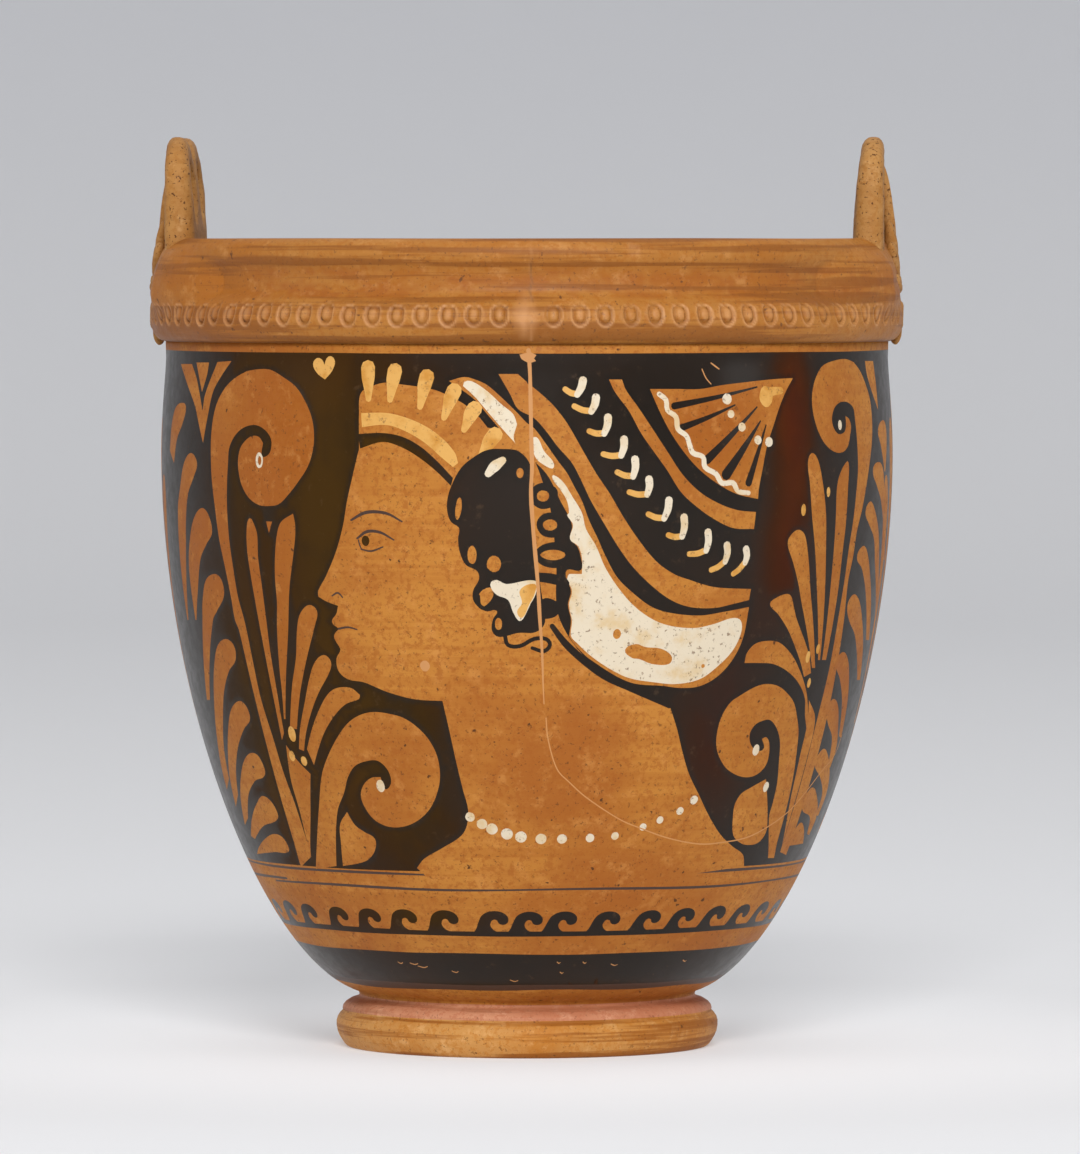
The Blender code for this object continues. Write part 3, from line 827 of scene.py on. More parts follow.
# Black gloss: near-black where it is thick, olive to brown where it is thin, grey and dulled where it is worn
def glossGroup():
    tree, given, wanted = newGroup(
        "black gloss", ("Thin", "Warm", "Contour"), ("Colour", "Roughness", "Height", "Shine")
    )
    where = objectPlace(tree)
    cloud = noiseNode(tree, where, 26.0, 4.0, 0.6)
    brushed = noiseNode(tree, stretched(tree, where, (60.0, 60.0, 26.0)), 1.0, 3.0, 0.6)
    fine = noiseNode(tree, where, 260.0, 4.0, 0.65)
    uneven = plus(tree, times(tree, cloud, 0.9), times(tree, brushed, 0.7))
    thin = times(tree, given["Thin"], ramp(tree, uneven, 0.55, 1.0, 0.55, 1.15), True)
    # the painter ran a second, thicker stroke round each shape
    thin = times(tree, thin, ramp(tree, given["Contour"], 0.7, 2.3, 0.50, 1.0), True)
    olive = mixColour(tree, given["Warm"], colour(0.047, 0.021, 0.0016), colour(0.066, 0.011, 0.0012))
    body = mixColour(tree, thin, colour(0.0085, 0.0058, 0.0032), olive)
    linkAll(tree, wanted, {
        "Colour": tinted(tree, body, ramp(tree, fine, 0.60, 0.75), 0.30, colour(0.10, 0.055, 0.025)),
        "Roughness": plus(tree, ramp(tree, fine, 0.3, 0.7, 0.30, 0.42), times(tree, thin, 0.16)),
        "Height": plus(tree, times(tree, brushed, 0.8), times(tree, fine, 0.3)),
        "Shine": ramp(tree, thin, 0.1, 0.7, 0.32, 0.03),
    })
    return tree


clayNodes = clayGroup()
glossNodes = glossGroup()


def newMaterial(name):
    material = bpy.data.materials.new(name)
    material.use_nodes = True
    return material, material.node_tree, material.node_tree.nodes["Principled BSDF"]


def finishMaterial(tree, shader, colourOut, roughness, height=None, depth=0.0, specular=0.4):
    tree.links.new(colourOut, shader.inputs["Base Color"])
    if isinstance(roughness, bpy.types.NodeSocket):
        tree.links.new(roughness, shader.inputs["Roughness"])
    else:
        shader.inputs["Roughness"].default_value = roughness
    shader.inputs["Specular IOR Level"].default_value = specular
    if height is not None:
        bump = addNode(tree, "ShaderNodeBump", {"Strength": 1.0, "Distance": depth, "Height": height})
        tree.links.new(bump.outputs[0], shader.inputs["Normal"])


# A material from a shared group, whose masks are read from the mesh's own attributes
def groupMaterial(name, nodes, attributes, depth, specular):
    material, tree, shader = newMaterial(name)
    group = addNode(tree, "ShaderNodeGroup", node_tree=nodes)
    for label, attribute in attributes.items():
        source = addNode(tree, "ShaderNodeAttribute", attribute_name=attribute)
        tree.links.new(source.outputs["Fac"], group.inputs[label])
    made = group.outputs
    finishMaterial(tree, shader, made["Colour"], made["Roughness"], made["Height"], depth, specular)
    return material, group


# Shades are the clay's own, a redder, a paler and the streaks' one. Amounts are of specks, streaks and clouds.
def clayMaterial(name, shades, amounts, depth=0.00012, specular=0.12):
    masks = {"Deeper": "clayDeep", "GrooveShadeAndCrack": "groove", "RidgeHighlightAndMend": "highlightAndMend"}
    material, group = groupMaterial(name, clayNodes, masks, depth, specular)
    for label, shade in zip(("Clay", "Redder", "Paler", "Streak"), shades):
        group.inputs[label].default_value = colour(*shade)
    for label, amount in zip(("Speck", "Streaks", "Clouds"), amounts):
        group.inputs[label].default_value = amount
    return material


def glossMaterial(name):
    masks = {"Thin": "glossThin", "Warm": "glossWarm", "Contour": "contour"}
    material, group = groupMaterial(name, glossNodes, masks, 0.00010, 0.06)
    shader = material.node_tree.nodes["Principled BSDF"]
    material.node_tree.links.new(group.outputs["Shine"], shader.inputs["Coat Weight"])
    shader.inputs["Coat Roughness"].default_value = 0.20
    return material


# Added colour, flaking and pitted with the black under it
def addedColour(name, first, second, pitting):
    material, tree, shader = newMaterial(name)
    where = objectPlace(tree)
    patches = noiseNode(tree, where, 120.0, 4.0, 0.6)
    pits = noiseNode(tree, where, 620.0, 4.0, 0.75)
    worn = noiseNode(tree, where, 260.0, 4.0, 0.7)
    body = mixColour(tree, ramp(tree, patches, 0.45, 0.68), colour(*first), colour(*second))
    body = tinted(tree, body, ramp(tree, pits, 0.58, 0.66), pitting, colour(0.13, 0.055, 0.018))
    body = tinted(tree, body, ramp(tree, worn, 0.64, 0.70), pitting, colour(0.06, 0.030, 0.014))
    finishMaterial(tree, shader, body, 0.62, pits, 0.00010, 0.35)
    return material


def plainMaterial(name, body, rough):
    material, _, shader = newMaterial(name)
    shader.inputs["Base Color"].default_value = colour(*body)
    shader.inputs["Roughness"].default_value = rough
    return material


materials = {
    "clay": clayMaterial(
        "reserved clay", spots("0.48,0.196,0.034 0.32,0.094,0.014 0.56,0.245,0.062 0.34,0.105,0.014"),
        (0.62, 0.35, 0.85),
    ),
    "gloss": glossMaterial("black gloss"),
    "white": addedColour("added white", (0.66, 0.565, 0.42), (0.61, 0.45, 0.25), 0.75),
    "yellow": addedColour("added yellow", (0.63, 0.335, 0.080), (0.50, 0.21, 0.020), 0.55),
    "brown": plainMaterial("thin brown line", (0.045, 0.016, 0.006), 0.5),
    "filler": plainMaterial("mending paste", (0.51, 0.230, 0.072), 0.7),
    "crack": plainMaterial("crack edge", (0.50, 0.220, 0.062), 0.7),
    "rim": clayMaterial(
        "tan clay of the rim", spots("0.38,0.150,0.024 0.34,0.108,0.007 0.51,0.235,0.070 0.22,0.067,0.007"),
        (0.50, 0.75, 0.8), 0.00016, 0.25,
    ),
    "handle": clayMaterial(
        "tan clay of the handles", spots("0.41,0.205,0.062 0.32,0.130,0.026 0.53,0.30,0.12 0.26,0.105,0.022"),
        (1.4, 0.18, 0.8), 0.00040,
    ),
    "inside": clayMaterial(
        "bare inside", spots("0.38,0.140,0.036 0.30,0.085,0.020 0.46,0.19,0.060 0.22,0.07,0.015"),
        (0.50, 0.9, 0.8), 0.00020,
    ),
    "footTop": clayMaterial(
        "pink wash on the foot", spots("0.56,0.25,0.135 0.45,0.15,0.07 0.68,0.36,0.22 0.30,0.10,0.04"),
        (0.35, 0.5, 0.7), 0.00016,
    ),
    "foot": clayMaterial(
        "tan clay of the foot", spots("0.54,0.26,0.072 0.47,0.17,0.022 0.72,0.42,0.17 0.28,0.085,0.010"),
        (0.50, 0.85, 0.8), 0.00020,
    ),
}
print("materials made:", len(materials))


# Where the gloss is thin: (picture x, y, half width, half height, thinness, warmth) on the picture side
thinPlaces = spots("""330,540,80,240,1.0,0.0 245,430,60,90,0.8,0.0 410,770,66,120,1.0,0.0 300,800,70,110,0.9,0.1
    240,660,60,150,0.7,0.1 795,420,28,80,1.2,1.0 790,560,40,60,0.8,0.9 720,720,50,110,0.35,0.9 400,440,50,60,0.6,0.1
    330,900,60,22,0.4,0.1 430,915,80,20,0.65,0.0 350,975,60,12,0.5,0.6""")


# Where the clay fired deeper: (picture x, y, half width, half height, amount)
deepPlaces = spots("""285,420,75,95,1.2 215,560,60,160,0.75 280,600,50,130,0.65 385,770,60,60,0.55 300,760,30,100,0.45
    840,420,40,90,0.55 830,600,50,160,0.45 745,730,50,60,0.40 720,430,70,60,1.0 640,480,60,60,0.25 620,905,90,40,0.35
    300,900,60,50,0.40 430,660,60,60,-0.1""")


# How strongly a place is felt at a sheet point. The hidden sides follow the picture side, turned about the handles.
def fallOff(u, v, middle, wide, tall):
    away = min(abs(u - middle.x), abs((halfTurn if u > 0 else -halfTurn) - u - middle.x))
    return math.exp(-((away / wide) ** 2 + ((v - middle.y) / tall) ** 2))


def clayDepth(u, v, places):
    deep = 0.10 + 0.20 * wander(u * 0.018, v * 0.018, 4.0)
    for *area, amount in places:
        deep += amount * fallOff(u, v, *area)
    return clamped(deep)


def glossThickness(u, v, places):
    turn = u / wall["sheetRadius"]
    thin = 0.10 + 0.10 * wander(math.sin(turn) * 3, math.cos(turn) * 3, lookUp(v, 0, 2) * 0.03)
    warm = usualWarmth = 0.4
    for *area, amount, warmth in places:
        fall = fallOff(u, v, *area)
        thin += amount * fall
        warm += (warmth - usualWarmth) * fall
    return clamped(thin), clamped(warm)


# Places given by picture points, laid on the sheet
def laidPlaces(places):
    point = 2 * drawing["halfPoint"]
    return [(wallPoint(x, y), wide * point, tall * point, *more) for x, y, wide, tall, *more in places]


# The net of the painted sheet in millimetres: its step, how far paint keeps off the sheet's edges, how much the
# net's points are shaken, as a share of the step, and how far they keep off the outlines
net = {"step": 2.3, "margin": 0.4, "shake": 0.22, "clear": 0.62}


# The sheet's own edge, run round from the lower corner at the seam
def sheetEdge():
    sides, rows = wall["sides"], round(sheetTop / net["step"])
    across = [2 * halfTurn * step / sides for step in range(sides)]
    up = [sheetTop * step / rows for step in range(rows)]
    edge = [(-halfTurn + u, 0) for u in across] + [(halfTurn, v) for v in up]
    edge += [(halfTurn - u, sheetTop) for u in across] + [(-halfTurn, sheetTop - v) for v in up]
    return [Vector(point) for point in edge]


# The painted sheet: every outline is cut into one mesh of triangles, and each triangle takes the last paint over it
def paintedSheet():
    period = 2 * halfTurn
    outlines = [("clay", sheetEdge())]
    for name, outline in layers:
        low, high = net["margin"], sheetTop - net["margin"]
        outline = [Vector((point.x, min(max(point.y, low), high))) for point in outline]
        first, last = min(point.x for point in outline), max(point.x for point in outline)
        whole = last - first > period * 0.9
        outlines.append((name, outline))
        if not whole and first < -halfTurn:
            outlines.append((name, [point + Vector((period, 0)) for point in outline]))
        if not whole and last > halfTurn:
            outlines.append((name, [point - Vector((period, 0)) for point in outline]))
    verts, faces = [], []
    for _, outline in outlines:
        if sum(a.x * b.y - b.x * a.y for a, b in zip(outline, outline[1:] + outline[:1])) < 0:
            outline = outline[::-1]
        faces.append(list(range(len(verts), len(verts) + len(outline))))
        verts.extend(outline)
    near = kdTree(verts)
    step = net["step"]
    for row in range(1, int(sheetTop / step)):
        v = row * step
        across = step * 1.1 / max(lookUp(v, 0, 1) / wall["sheetRadius"], 0.5)
        count = int(period / across)
        for column in range(count):
            u = -halfTurn + (column + 0.5 + 0.5 * (row % 2)) * period / count
            u += random.uniform(-net["shake"], net["shake"]) * across
            place = Vector((u, v + random.uniform(-net["shake"], net["shake"]) * step))
            inside = abs(u) <= halfTurn - across * 0.4 and step * 0.4 < place.y < sheetTop - step * 0.4
            if inside and near.find(place.to_3d())[2] >= net["clear"]:
                verts.append(place)
    points, _, triangles, _, _, fromFaces = delaunay_2d_cdt(verts, [], faces, 0, 0.00001)
    return outlines, points, triangles, fromFaces


def kdTree(points):
    tree = KDTree(len(points))
    for index, point in enumerate(points):
        tree.insert(point.to_3d(), index)
    tree.balance()
    return tree


def sheetMesh():
    outlines, points, triangles, fromFaces = paintedSheet()
    names = list(materials)
    bm = bmesh.new()
    thinLayer, warmLayer, contourLayer, deepLayer = (
        bm.verts.layers.float.new(name) for name in ("glossThin", "glossWarm", "contour", "clayDeep")
    )
    # only the edges of clay and white count as contours, for the thicker stroke of gloss along them
    near = kdTree([point for name, outline in outlines[1:] if name in ("clay", "white") for point in outline[::2]])
    thinner, deeper = laidPlaces(thinPlaces), laidPlaces(deepPlaces)
    placed = []
    for point in points:
        vert = bm.verts.new(onWall(point.x, point.y))
        vert[thinLayer], vert[warmLayer] = glossThickness(point.x, point.y, thinner)
        vert[deepLayer] = clayDepth(point.x, point.y, deeper)
        vert[contourLayer] = min(near.find(point.to_3d())[2], 6.0)
        placed.append(vert)
    for triangle, sources in zip(triangles, fromFaces):
        if 0 not in sources:
            continue
        try:
            made = bm.faces.new([placed[index] for index in triangle])
        except ValueError:
            continue
        made.material_index = names.index(outlines[max(sources)][0])
        made.smooth = True
    return bm


# Profile runs that close the vessel, each point as its radius and height in millimetres
footRun = {
    "outside": spots("""50.4,15.6 50.6,14.9 51.6,14.4 53.2,13.9 54.6,13.0 55.3,12.1 55.5,11.2 55.3,10.75 55.6,10.4
        56.3,9.7 56.95,8.7 57.3,7.5 57.3,6.0 57.0,4.4 56.4,3.0 55.6,1.7 54.9,0.7 54.3,0.15 53.6,0.0"""),
    "underside": spots("""47.0,0.0 46.2,0.3 45.5,1.6 44.2,6.0 43.0,11.0 41.6,13.6 38.5,14.6 30.0,14.75 20.0,14.6
        10.0,14.5 3.0,14.4"""),
}
insideRun = spots("""105.5,212.6 103.6,216.0 101.8,226.0 100.4,233.0 99.55,236.5 99.5,234.0 100.4,225.0 101.7,213.0
    102.5,205.0 102.9,197.1 103.5,187.0 103.75,178.3 103.6,168.0 103.1,158.4 102.2,148.0 101.0,138.5 99.6,129.0
    97.8,119.3 95.4,109.0 92.4,98.8 88.9,88.5 84.8,78.2 80.2,68.0 75.2,57.8 70.2,48.5 65.6,39.5 61.9,33.2 58.6,28.6
    55.1,25.5 50.0,23.6 43.1,22.75 33.0,22.5 22.0,22.45 11.0,22.5 3.0,22.6""")


# Place in metres of an angle round the vessel with a radius and a height in millimetres
def placeAt(angle, radius, height):
    return radius * math.sin(angle) / 1000, -radius * math.cos(angle) / 1000, height / 1000


def addFace(bm, corners, material, flip):
    face = bm.faces.new(corners[::-1] if flip else corners)
    face.material_index = material
    face.smooth = True


def joinRings(bm, outer, inner, material=0, flip=False):
    for a, b, c, d in zip(outer, outer[1:] + outer[:1], inner[1:] + inner[:1], inner):
        addFace(bm, [a, b, c, d], material, flip)


def closeRing(bm, ring, height, material=0, flip=False):
    middle = bm.verts.new((0, 0, height / 1000))
    for a, b in zip(ring, ring[1:] + ring[:1]):
        addFace(bm, [a, b, middle], material, flip)


def ringFrom(bm, ring, radius, height, waver):
    made = []
    for vert in ring:
        angle = math.atan2(vert.co.x, -vert.co.y)
        place = Vector((math.sin(angle), -math.cos(angle), height * 0.02))
        reach = radius + waver * noise.noise(place * 2.3)
        lift = waver * 0.6 * noise.noise(place * 1.7 + Vector((5, 1, 3)))
        made.append(bm.verts.new(placeAt(angle, reach, height + lift)))
    return made


# The sheet's points at one level, in their order round the vessel
def edgeRing(bm, level):
    chosen = [vert for vert in bm.verts if abs(vert.co.z * 1000 - level) < 0.001]
    return sorted(chosen, key=lambda vert: math.atan2(vert.co.x, -vert.co.y))


def vesselBody():
    bm = sheetMesh()
    bmesh.ops.remove_doubles(bm, verts=bm.verts[:], dist=0.0000015)
    names = list(materials)
    foot = edgeRing(bm, wall["neckHeight"] * 1000)
    top = edgeRing(bm, wall["topHeight"] * 1000)
    print("sheet rings:", len(foot), len(top), "faces", len(bm.faces))
    # the ring's own angles are the sheet's, so both runs start at the seam
    ring = foot
    standing = len(footRun["outside"]) - 2
    for index, (radius, height) in enumerate([*footRun["outside"], *footRun["underside"]]):
        below = ringFrom(bm, ring, radius, height, 0.0 if index >= standing else 0.12)
        kind = "clay" if index < 1 else "footTop" if index < 7 else "foot"
        joinRings(bm, ring, below, names.index(kind), flip=True)
        ring = below
    closeRing(bm, ring, 14.4, names.index("foot"), flip=True)
    ring = top
    for index, (radius, height) in enumerate(insideRun):
        above = ringFrom(bm, ring, radius, height, 0.16 if index > 8 else 0.0)
        joinRings(bm, ring, above, names.index("inside" if index > 3 else "rim"))
        ring = above
    closeRing(bm, ring, 22.6, names.index("inside"))
    return newObject("vesselBody", outwardMesh("vesselBody", bm), list(materials.values()))


# Rim: its own ring of clay, with a grooved foot, stamped band, hollow cove and rounded lip
rim = {
    "columns": 1380,
    "eggs": 92,
    "eggWide": 4.9,
    "eggTall": 6.2,
    "eggDeep": 1.15,
    "bandHeight": 220.0,
    "bandFrom": 212.5,
    "bandTo": 225.0,
    "jitter": 0.22,
    "chipTurn": 17.6,
    "chipHeight": 239.6,
    "washFrom": 223.6,
    "washTo": 234.6,
}
rimRun = spots("""99.35,231.0 99.30,234.0 99.35,236.6 99.55,238.3 100.0,239.8 100.8,241.2 101.9,242.05 103.2,242.4
    104.6,242.4 105.9,242.1 107.0,241.4 107.85,240.4 108.35,239.2 108.55,238.0 108.5,236.9 108.15,235.7 107.6,234.7
    107.05,233.7 106.75,232.5 106.6,231.0 106.6,229.8 106.72,228.6 106.75,227.7 107.05,227.0 107.5,226.3 108.3,225.5
    109.4,224.5 110.4,223.6 111.15,222.9 111.7,222.2 112.05,221.6 112.3,221.0 112.5,220.4 112.65,219.8 112.75,219.2
    112.8,218.6 112.82,218.0 112.8,217.4 112.75,216.8 112.65,216.2 112.5,215.6 112.3,215.0 112.0,214.3 111.6,213.6
    111.1,213.0 110.4,212.35 109.6,211.9 108.8,211.7 107.6,211.6 104.0,212.6 101.5,222.0""")


def eggShare(angle, height):
    pitch = 2 * pi / rim["eggs"]
    index = math.floor(angle / pitch)
    middle = (index + 0.5) * pitch
    shift = wander(index * 1.7, 2.0, 0.0)
    across = (angle - middle) * 111.0 - shift * rim["jitter"] * 3
    up = height - rim["bandHeight"] - 0.5 * wander(index * 1.3, 7.0, 0.0)
    wide, tall = rim["eggWide"] / 2, rim["eggTall"] / 2
    # squarer at the top, rounded at the foot
    reach = math.hypot(across / wide, up / tall if up < 0 else (up / tall) ** 2)
    press = 1 + 0.35 * wander(index * 2.1, 4.0, 0.0)
    if reach > 1.5:
        return 0.0, 0.0, 0.0
    frameRidge = math.exp(-(((reach - 1.02) / 0.13) ** 2)) * 0.30
    groove = -math.exp(-(((reach - 0.76) / 0.17) ** 2)) * 0.85
    egg = 0.28 * max(0.0, 1 - (reach / 0.55) ** 2)
    out = (frameRidge + groove + egg) * rim["eggDeep"] * press
    # the egg's shape, then the painted shade of its groove and the painted highlight on its frame ridge and top
    return out, -groove * press * 0.55, frameRidge * 2.9 * press + egg * 2.2


# A flake lost from the lip, right of the middle
def chipShare(angle, height):
    across = (angle - math.radians(rim["chipTurn"])) * 108 / 3.7
    up = (height - rim["chipHeight"]) / 2.4
    away = math.hypot(across, up) + 0.25 * wander(across * 2, up * 2, 1)
    return max(0.0, 1 - away) ** 0.7


# The mended break runs on up over the rim as a paler, smoothed strip
mendAt = wallPoint(531, 356).x / wall["sheetRadius"]


def mendShare(angle, height):
    aside = (angle - mendAt) * 110 + 0.8 * wander(height * 0.25, 3, 9)
    patch = clamped(1.5 - math.hypot((aside + 1.6) / 2.8, (height - rim["bandHeight"]) / 5.2)) * 0.50
    line = clamped(1.2 - abs(aside) / 0.6) * (0.45 if height < 226 else 0.15)
    return max(patch, line) * (0.85 + 0.5 * wander(angle * 60, height * 0.35, 4))


# Darkness of the crack that runs on over the stamped band
def crackShade(angle, height):
    aside = abs((angle - mendAt) * 108 + 0.9 * wander(height * 0.35, 6, 1))
    return 1.1 * max(1 - aside / 0.55, 0) if 224 < height < 236.5 else 0.0


# Clay smoothed over the joint of handle and rim: how far out it stands, or nothing beyond its edge
def padReach(angle, height):
    fromHandle = abs(abs(angle) - pi / 2)
    middle, half = 229.5, 13.6
    away = (fromHandle / math.radians(35)) ** 2.4 + (abs(height - middle) / half) ** 2.6
    if away >= 1:
        return 0.0
    out = math.sqrt(1 - away) ** 0.9
    flat = 1 / math.cos(min(fromHandle, math.radians(16.5))) - 1
    return 103.1 + (242.4 - height) * 0.155 + 6.4 * out + 107.1 * flat * out**2


# The farther out of two reaches, blended softly over a width
def softest(first, second, width):
    share = clamped(0.5 + 0.5 * (second - first) / width)
    return first + (second - first) * share + width * share * (1 - share)


# Reach, height and the masks of one point of the rim, from its place in the run. One mask is painted shade with the
# crack's own darkness; the other is a painted highlight with the paler mend.
def rimPoint(angle, radius, height):
    groove = highlightAndMend = 0.0
    place = Vector((math.sin(angle) * 2.0, -math.cos(angle) * 2.0, height * 0.045))
    reach = radius + 0.20 * noise.noise(place)
    lift = 0.16 * noise.noise(place * 0.8 + Vector((4, 4, 4)))
    if radius > 106.4 and height > 210:
        reach += 0.05 * wander(angle * 30, height * 1.9, 2)
    if rim["bandFrom"] < height < rim["bandTo"] and radius > 108:
        # no eggs under the handles and at the mended place
        fromHandle = abs(abs(angle) - pi / 2)
        fade = clamped((fromHandle - math.radians(7)) / math.radians(3)) * clamped(abs(angle - mendAt) * 111 / 3 - 1.1)
        share, dark, paintedHighlight = eggShare(angle + pi, height)
        reach += share * fade
        groove = dark * fade
        highlightAndMend = paintedHighlight * fade * (0.6 + 0.5 * wander(angle * 8, height * 0.1, 1))
    # painted shade on the rim's underside, where it hangs over the wall
    if height < rim["bandFrom"] or reach < 101:
        groove = 0.9 if 104 < radius < 109.9 else 0.0
    if radius > 106.0 and height > 216:
        pad = padReach(angle, height)
        if pad > 0:
            reach = softest(reach, pad + 0.45 * wander(angle * 11, height * 0.22, 5), 2.6)
    if height > 235 and radius > 104:
        chip = chipShare(angle, height)
        reach -= 1.1 * chip
        lift -= 0.5 * chip
    # the mend's paler strip joins the painted highlight, and the crack's darkness joins the painted shade
    if height > rim["bandFrom"] and radius > 104:
        highlightAndMend = max(highlightAndMend, mendShare(angle, height))
        groove = max(groove, crackShade(angle, height))
    return reach, height + lift, groove, highlightAndMend


# Ochre wash in the cove, its edges ragged
def coveWash(angle, radius, height):
    wash = clamped((height - rim["washFrom"]) / 1.6) * clamped((rim["washTo"] - height) / 1.6) if radius < 109 else 0.0
    ragged = wander(angle * 7, height * 0.25, 3) + 0.7 * wander(angle * 34, height * 0.9, 8)
    return wash * clamped(0.55 + ragged * 1.3) * 0.85


def rimRing():
    bm = bmesh.new()
    # the rim's masks: painted shade in its grooves and under it with the dark crack, and a painted highlight on its
    # ridges with the paler mend
    shadeAndCrackLayer, highlightAndMendLayer, deepLayer = (bm.verts.layers.float.new(name) for name in ("groove", "highlightAndMend", "clayDeep"))
    rings = []
    for radius, height in rimRun:
        ring = []
        for step in range(rim["columns"]):
            angle = -pi + 2 * pi * step / rim["columns"]
            reach, level, groove, highlightAndMend = rimPoint(angle, radius, height)
            vert = bm.verts.new(placeAt(angle, reach, level))
            vert[shadeAndCrackLayer], vert[highlightAndMendLayer] = groove, highlightAndMend
            vert[deepLayer] = coveWash(angle, radius, height)
            ring.append(vert)
        rings.append(ring)
    for before, after in zip(rings, rings[1:] + rings[:1]):
        joinRings(bm, before, after)
    return newObject("stampedRim", outwardMesh("stampedRim", bm), [materials["rim"]])


# Handle: a plate with two loops and a moulded palmette, in millimetres
handle = {
    "top": 272.7,
    "outer": 107.1,
    "thick": 9.2,
    "topThick": 6.2,
    "loop": 16.1,
    "offset": 14.8,
    "hole": 8.0,
    "edge": 3.7,
    "bottom": 235.4,
    "lip": 242.4,
    "net": 1.7,
    "rootDrop": 19.5,
    "petals": (1.0, 0.64, 0.60, 0.46),
    "petalLength": 42.0,
    "petalTurn": 22,
}


# The plate's outline and its two holes, as (across, height)
def handlePlate():
    offset, reach = handle["offset"], handle["loop"]
    centre = handle["top"] - reach
    notch = math.acos(-offset / reach)
    steps = 26
    turns = [notch * step / steps for step in range(steps + 1)]
    right = [(offset + reach * math.cos(turn), centre + reach * math.sin(turn)) for turn in turns]
    left = [(-across, height) for across, height in reversed(right[:-1])]
    wide = offset + reach
    outline = [(wide, handle["bottom"]), *right, *left, (-wide, handle["bottom"])]
    turns = [2 * pi * step / 32 for step in range(32)]
    holes = [
        [(side * offset + handle["hole"] * math.cos(turn), centre + handle["hole"] * math.sin(turn)) for turn in turns]
        for side in (1, -1)
    ]
    return outline, holes


def plateObject(name):
    outline, holes = handlePlate()
    curve = bpy.data.curves.new(name, "CURVE")
    curve.dimensions = "2D"
    curve.fill_mode = "BOTH"
    curve.extrude = handle["thick"] / 2 - handle["edge"]
    curve.bevel_depth = handle["edge"]
    curve.bevel_resolution = 3
    curve.offset = -handle["edge"]
    for run in (outline, *holes):
        spline = curve.splines.new("POLY")
        spline.points.add(len(run) - 1)
        spline.use_cyclic_u = True
        for point, (across, height) in zip(spline.points, run):
            point.co = (across, height, 0, 1)
    plate = bpy.data.objects.new(name, curve)
    bpy.context.scene.collection.objects.link(plate)
    bpy.context.view_layer.update()
    mesh = bpy.data.meshes.new_from_object(plate.evaluated_get(bpy.context.evaluated_depsgraph_get()))
    bpy.data.objects.remove(plate)
    bpy.data.curves.remove(curve)
    for vert in mesh.vertices:
        across, height, depth = vert.co
        share = clamped((height - handle["lip"]) / (handle["top"] - handle["lip"]))
        thickness = handle["thick"] + (handle["topThick"] - handle["thick"]) * share**1.6
        inwards = thickness * (0.5 - depth / handle["thick"])
        vert.co = Vector((handle["outer"] - inwards, across, height))
    return mesh


# A closed drop-shaped swelling from a point, in a direction given by its turn across the handle's face
def addPetal(bm, root, start, length, wide, deep, turn, lean):
    made = bmesh.ops.create_uvsphere(bm, u_segments=20, v_segments=14, radius=1)["verts"]
    for vert in made:
        along = (vert.co.z + 1) / 2
        swell = 0.42 + 0.58 * along
        # a hollow runs down the middle of each petal
        hollow = 1 - 0.35 * math.exp(-((vert.co.y / 0.34) ** 2)) if vert.co.x > 0 else 1
        out = vert.co.x * deep * (0.6 + 0.4 * along) * hollow
        vert.co = Vector((out, vert.co.y * wide / 2 * swell, start + along * (length - start)))
    bmesh.ops.rotate(bm, verts=made, matrix=Matrix.Rotation(turn, 3, "X"))
    bmesh.ops.rotate(bm, verts=made, matrix=Matrix.Rotation(lean, 3, "Y"))
    bmesh.ops.translate(bm, verts=made, vec=root)


def addRing(bm, centre, radius, thickness):
    before = set(bm.verts)
    turns = [2 * pi * step / 12 for step in range(12)]
    profile = [bm.verts.new((thickness * math.cos(turn), radius + thickness * math.sin(turn), 0)) for turn in turns]
    edges = [bm.edges.new((a, b)) for a, b in zip(profile, profile[1:] + profile[:1])]
    bmesh.ops.spin(
        bm, geom=profile + edges, cent=(0, 0, 0), axis=(1, 0, 0), angle=2 * pi, steps=28, use_merge=True
    )
    bmesh.ops.translate(bm, verts=[vert for vert in bm.verts if vert not in before], vec=centre)


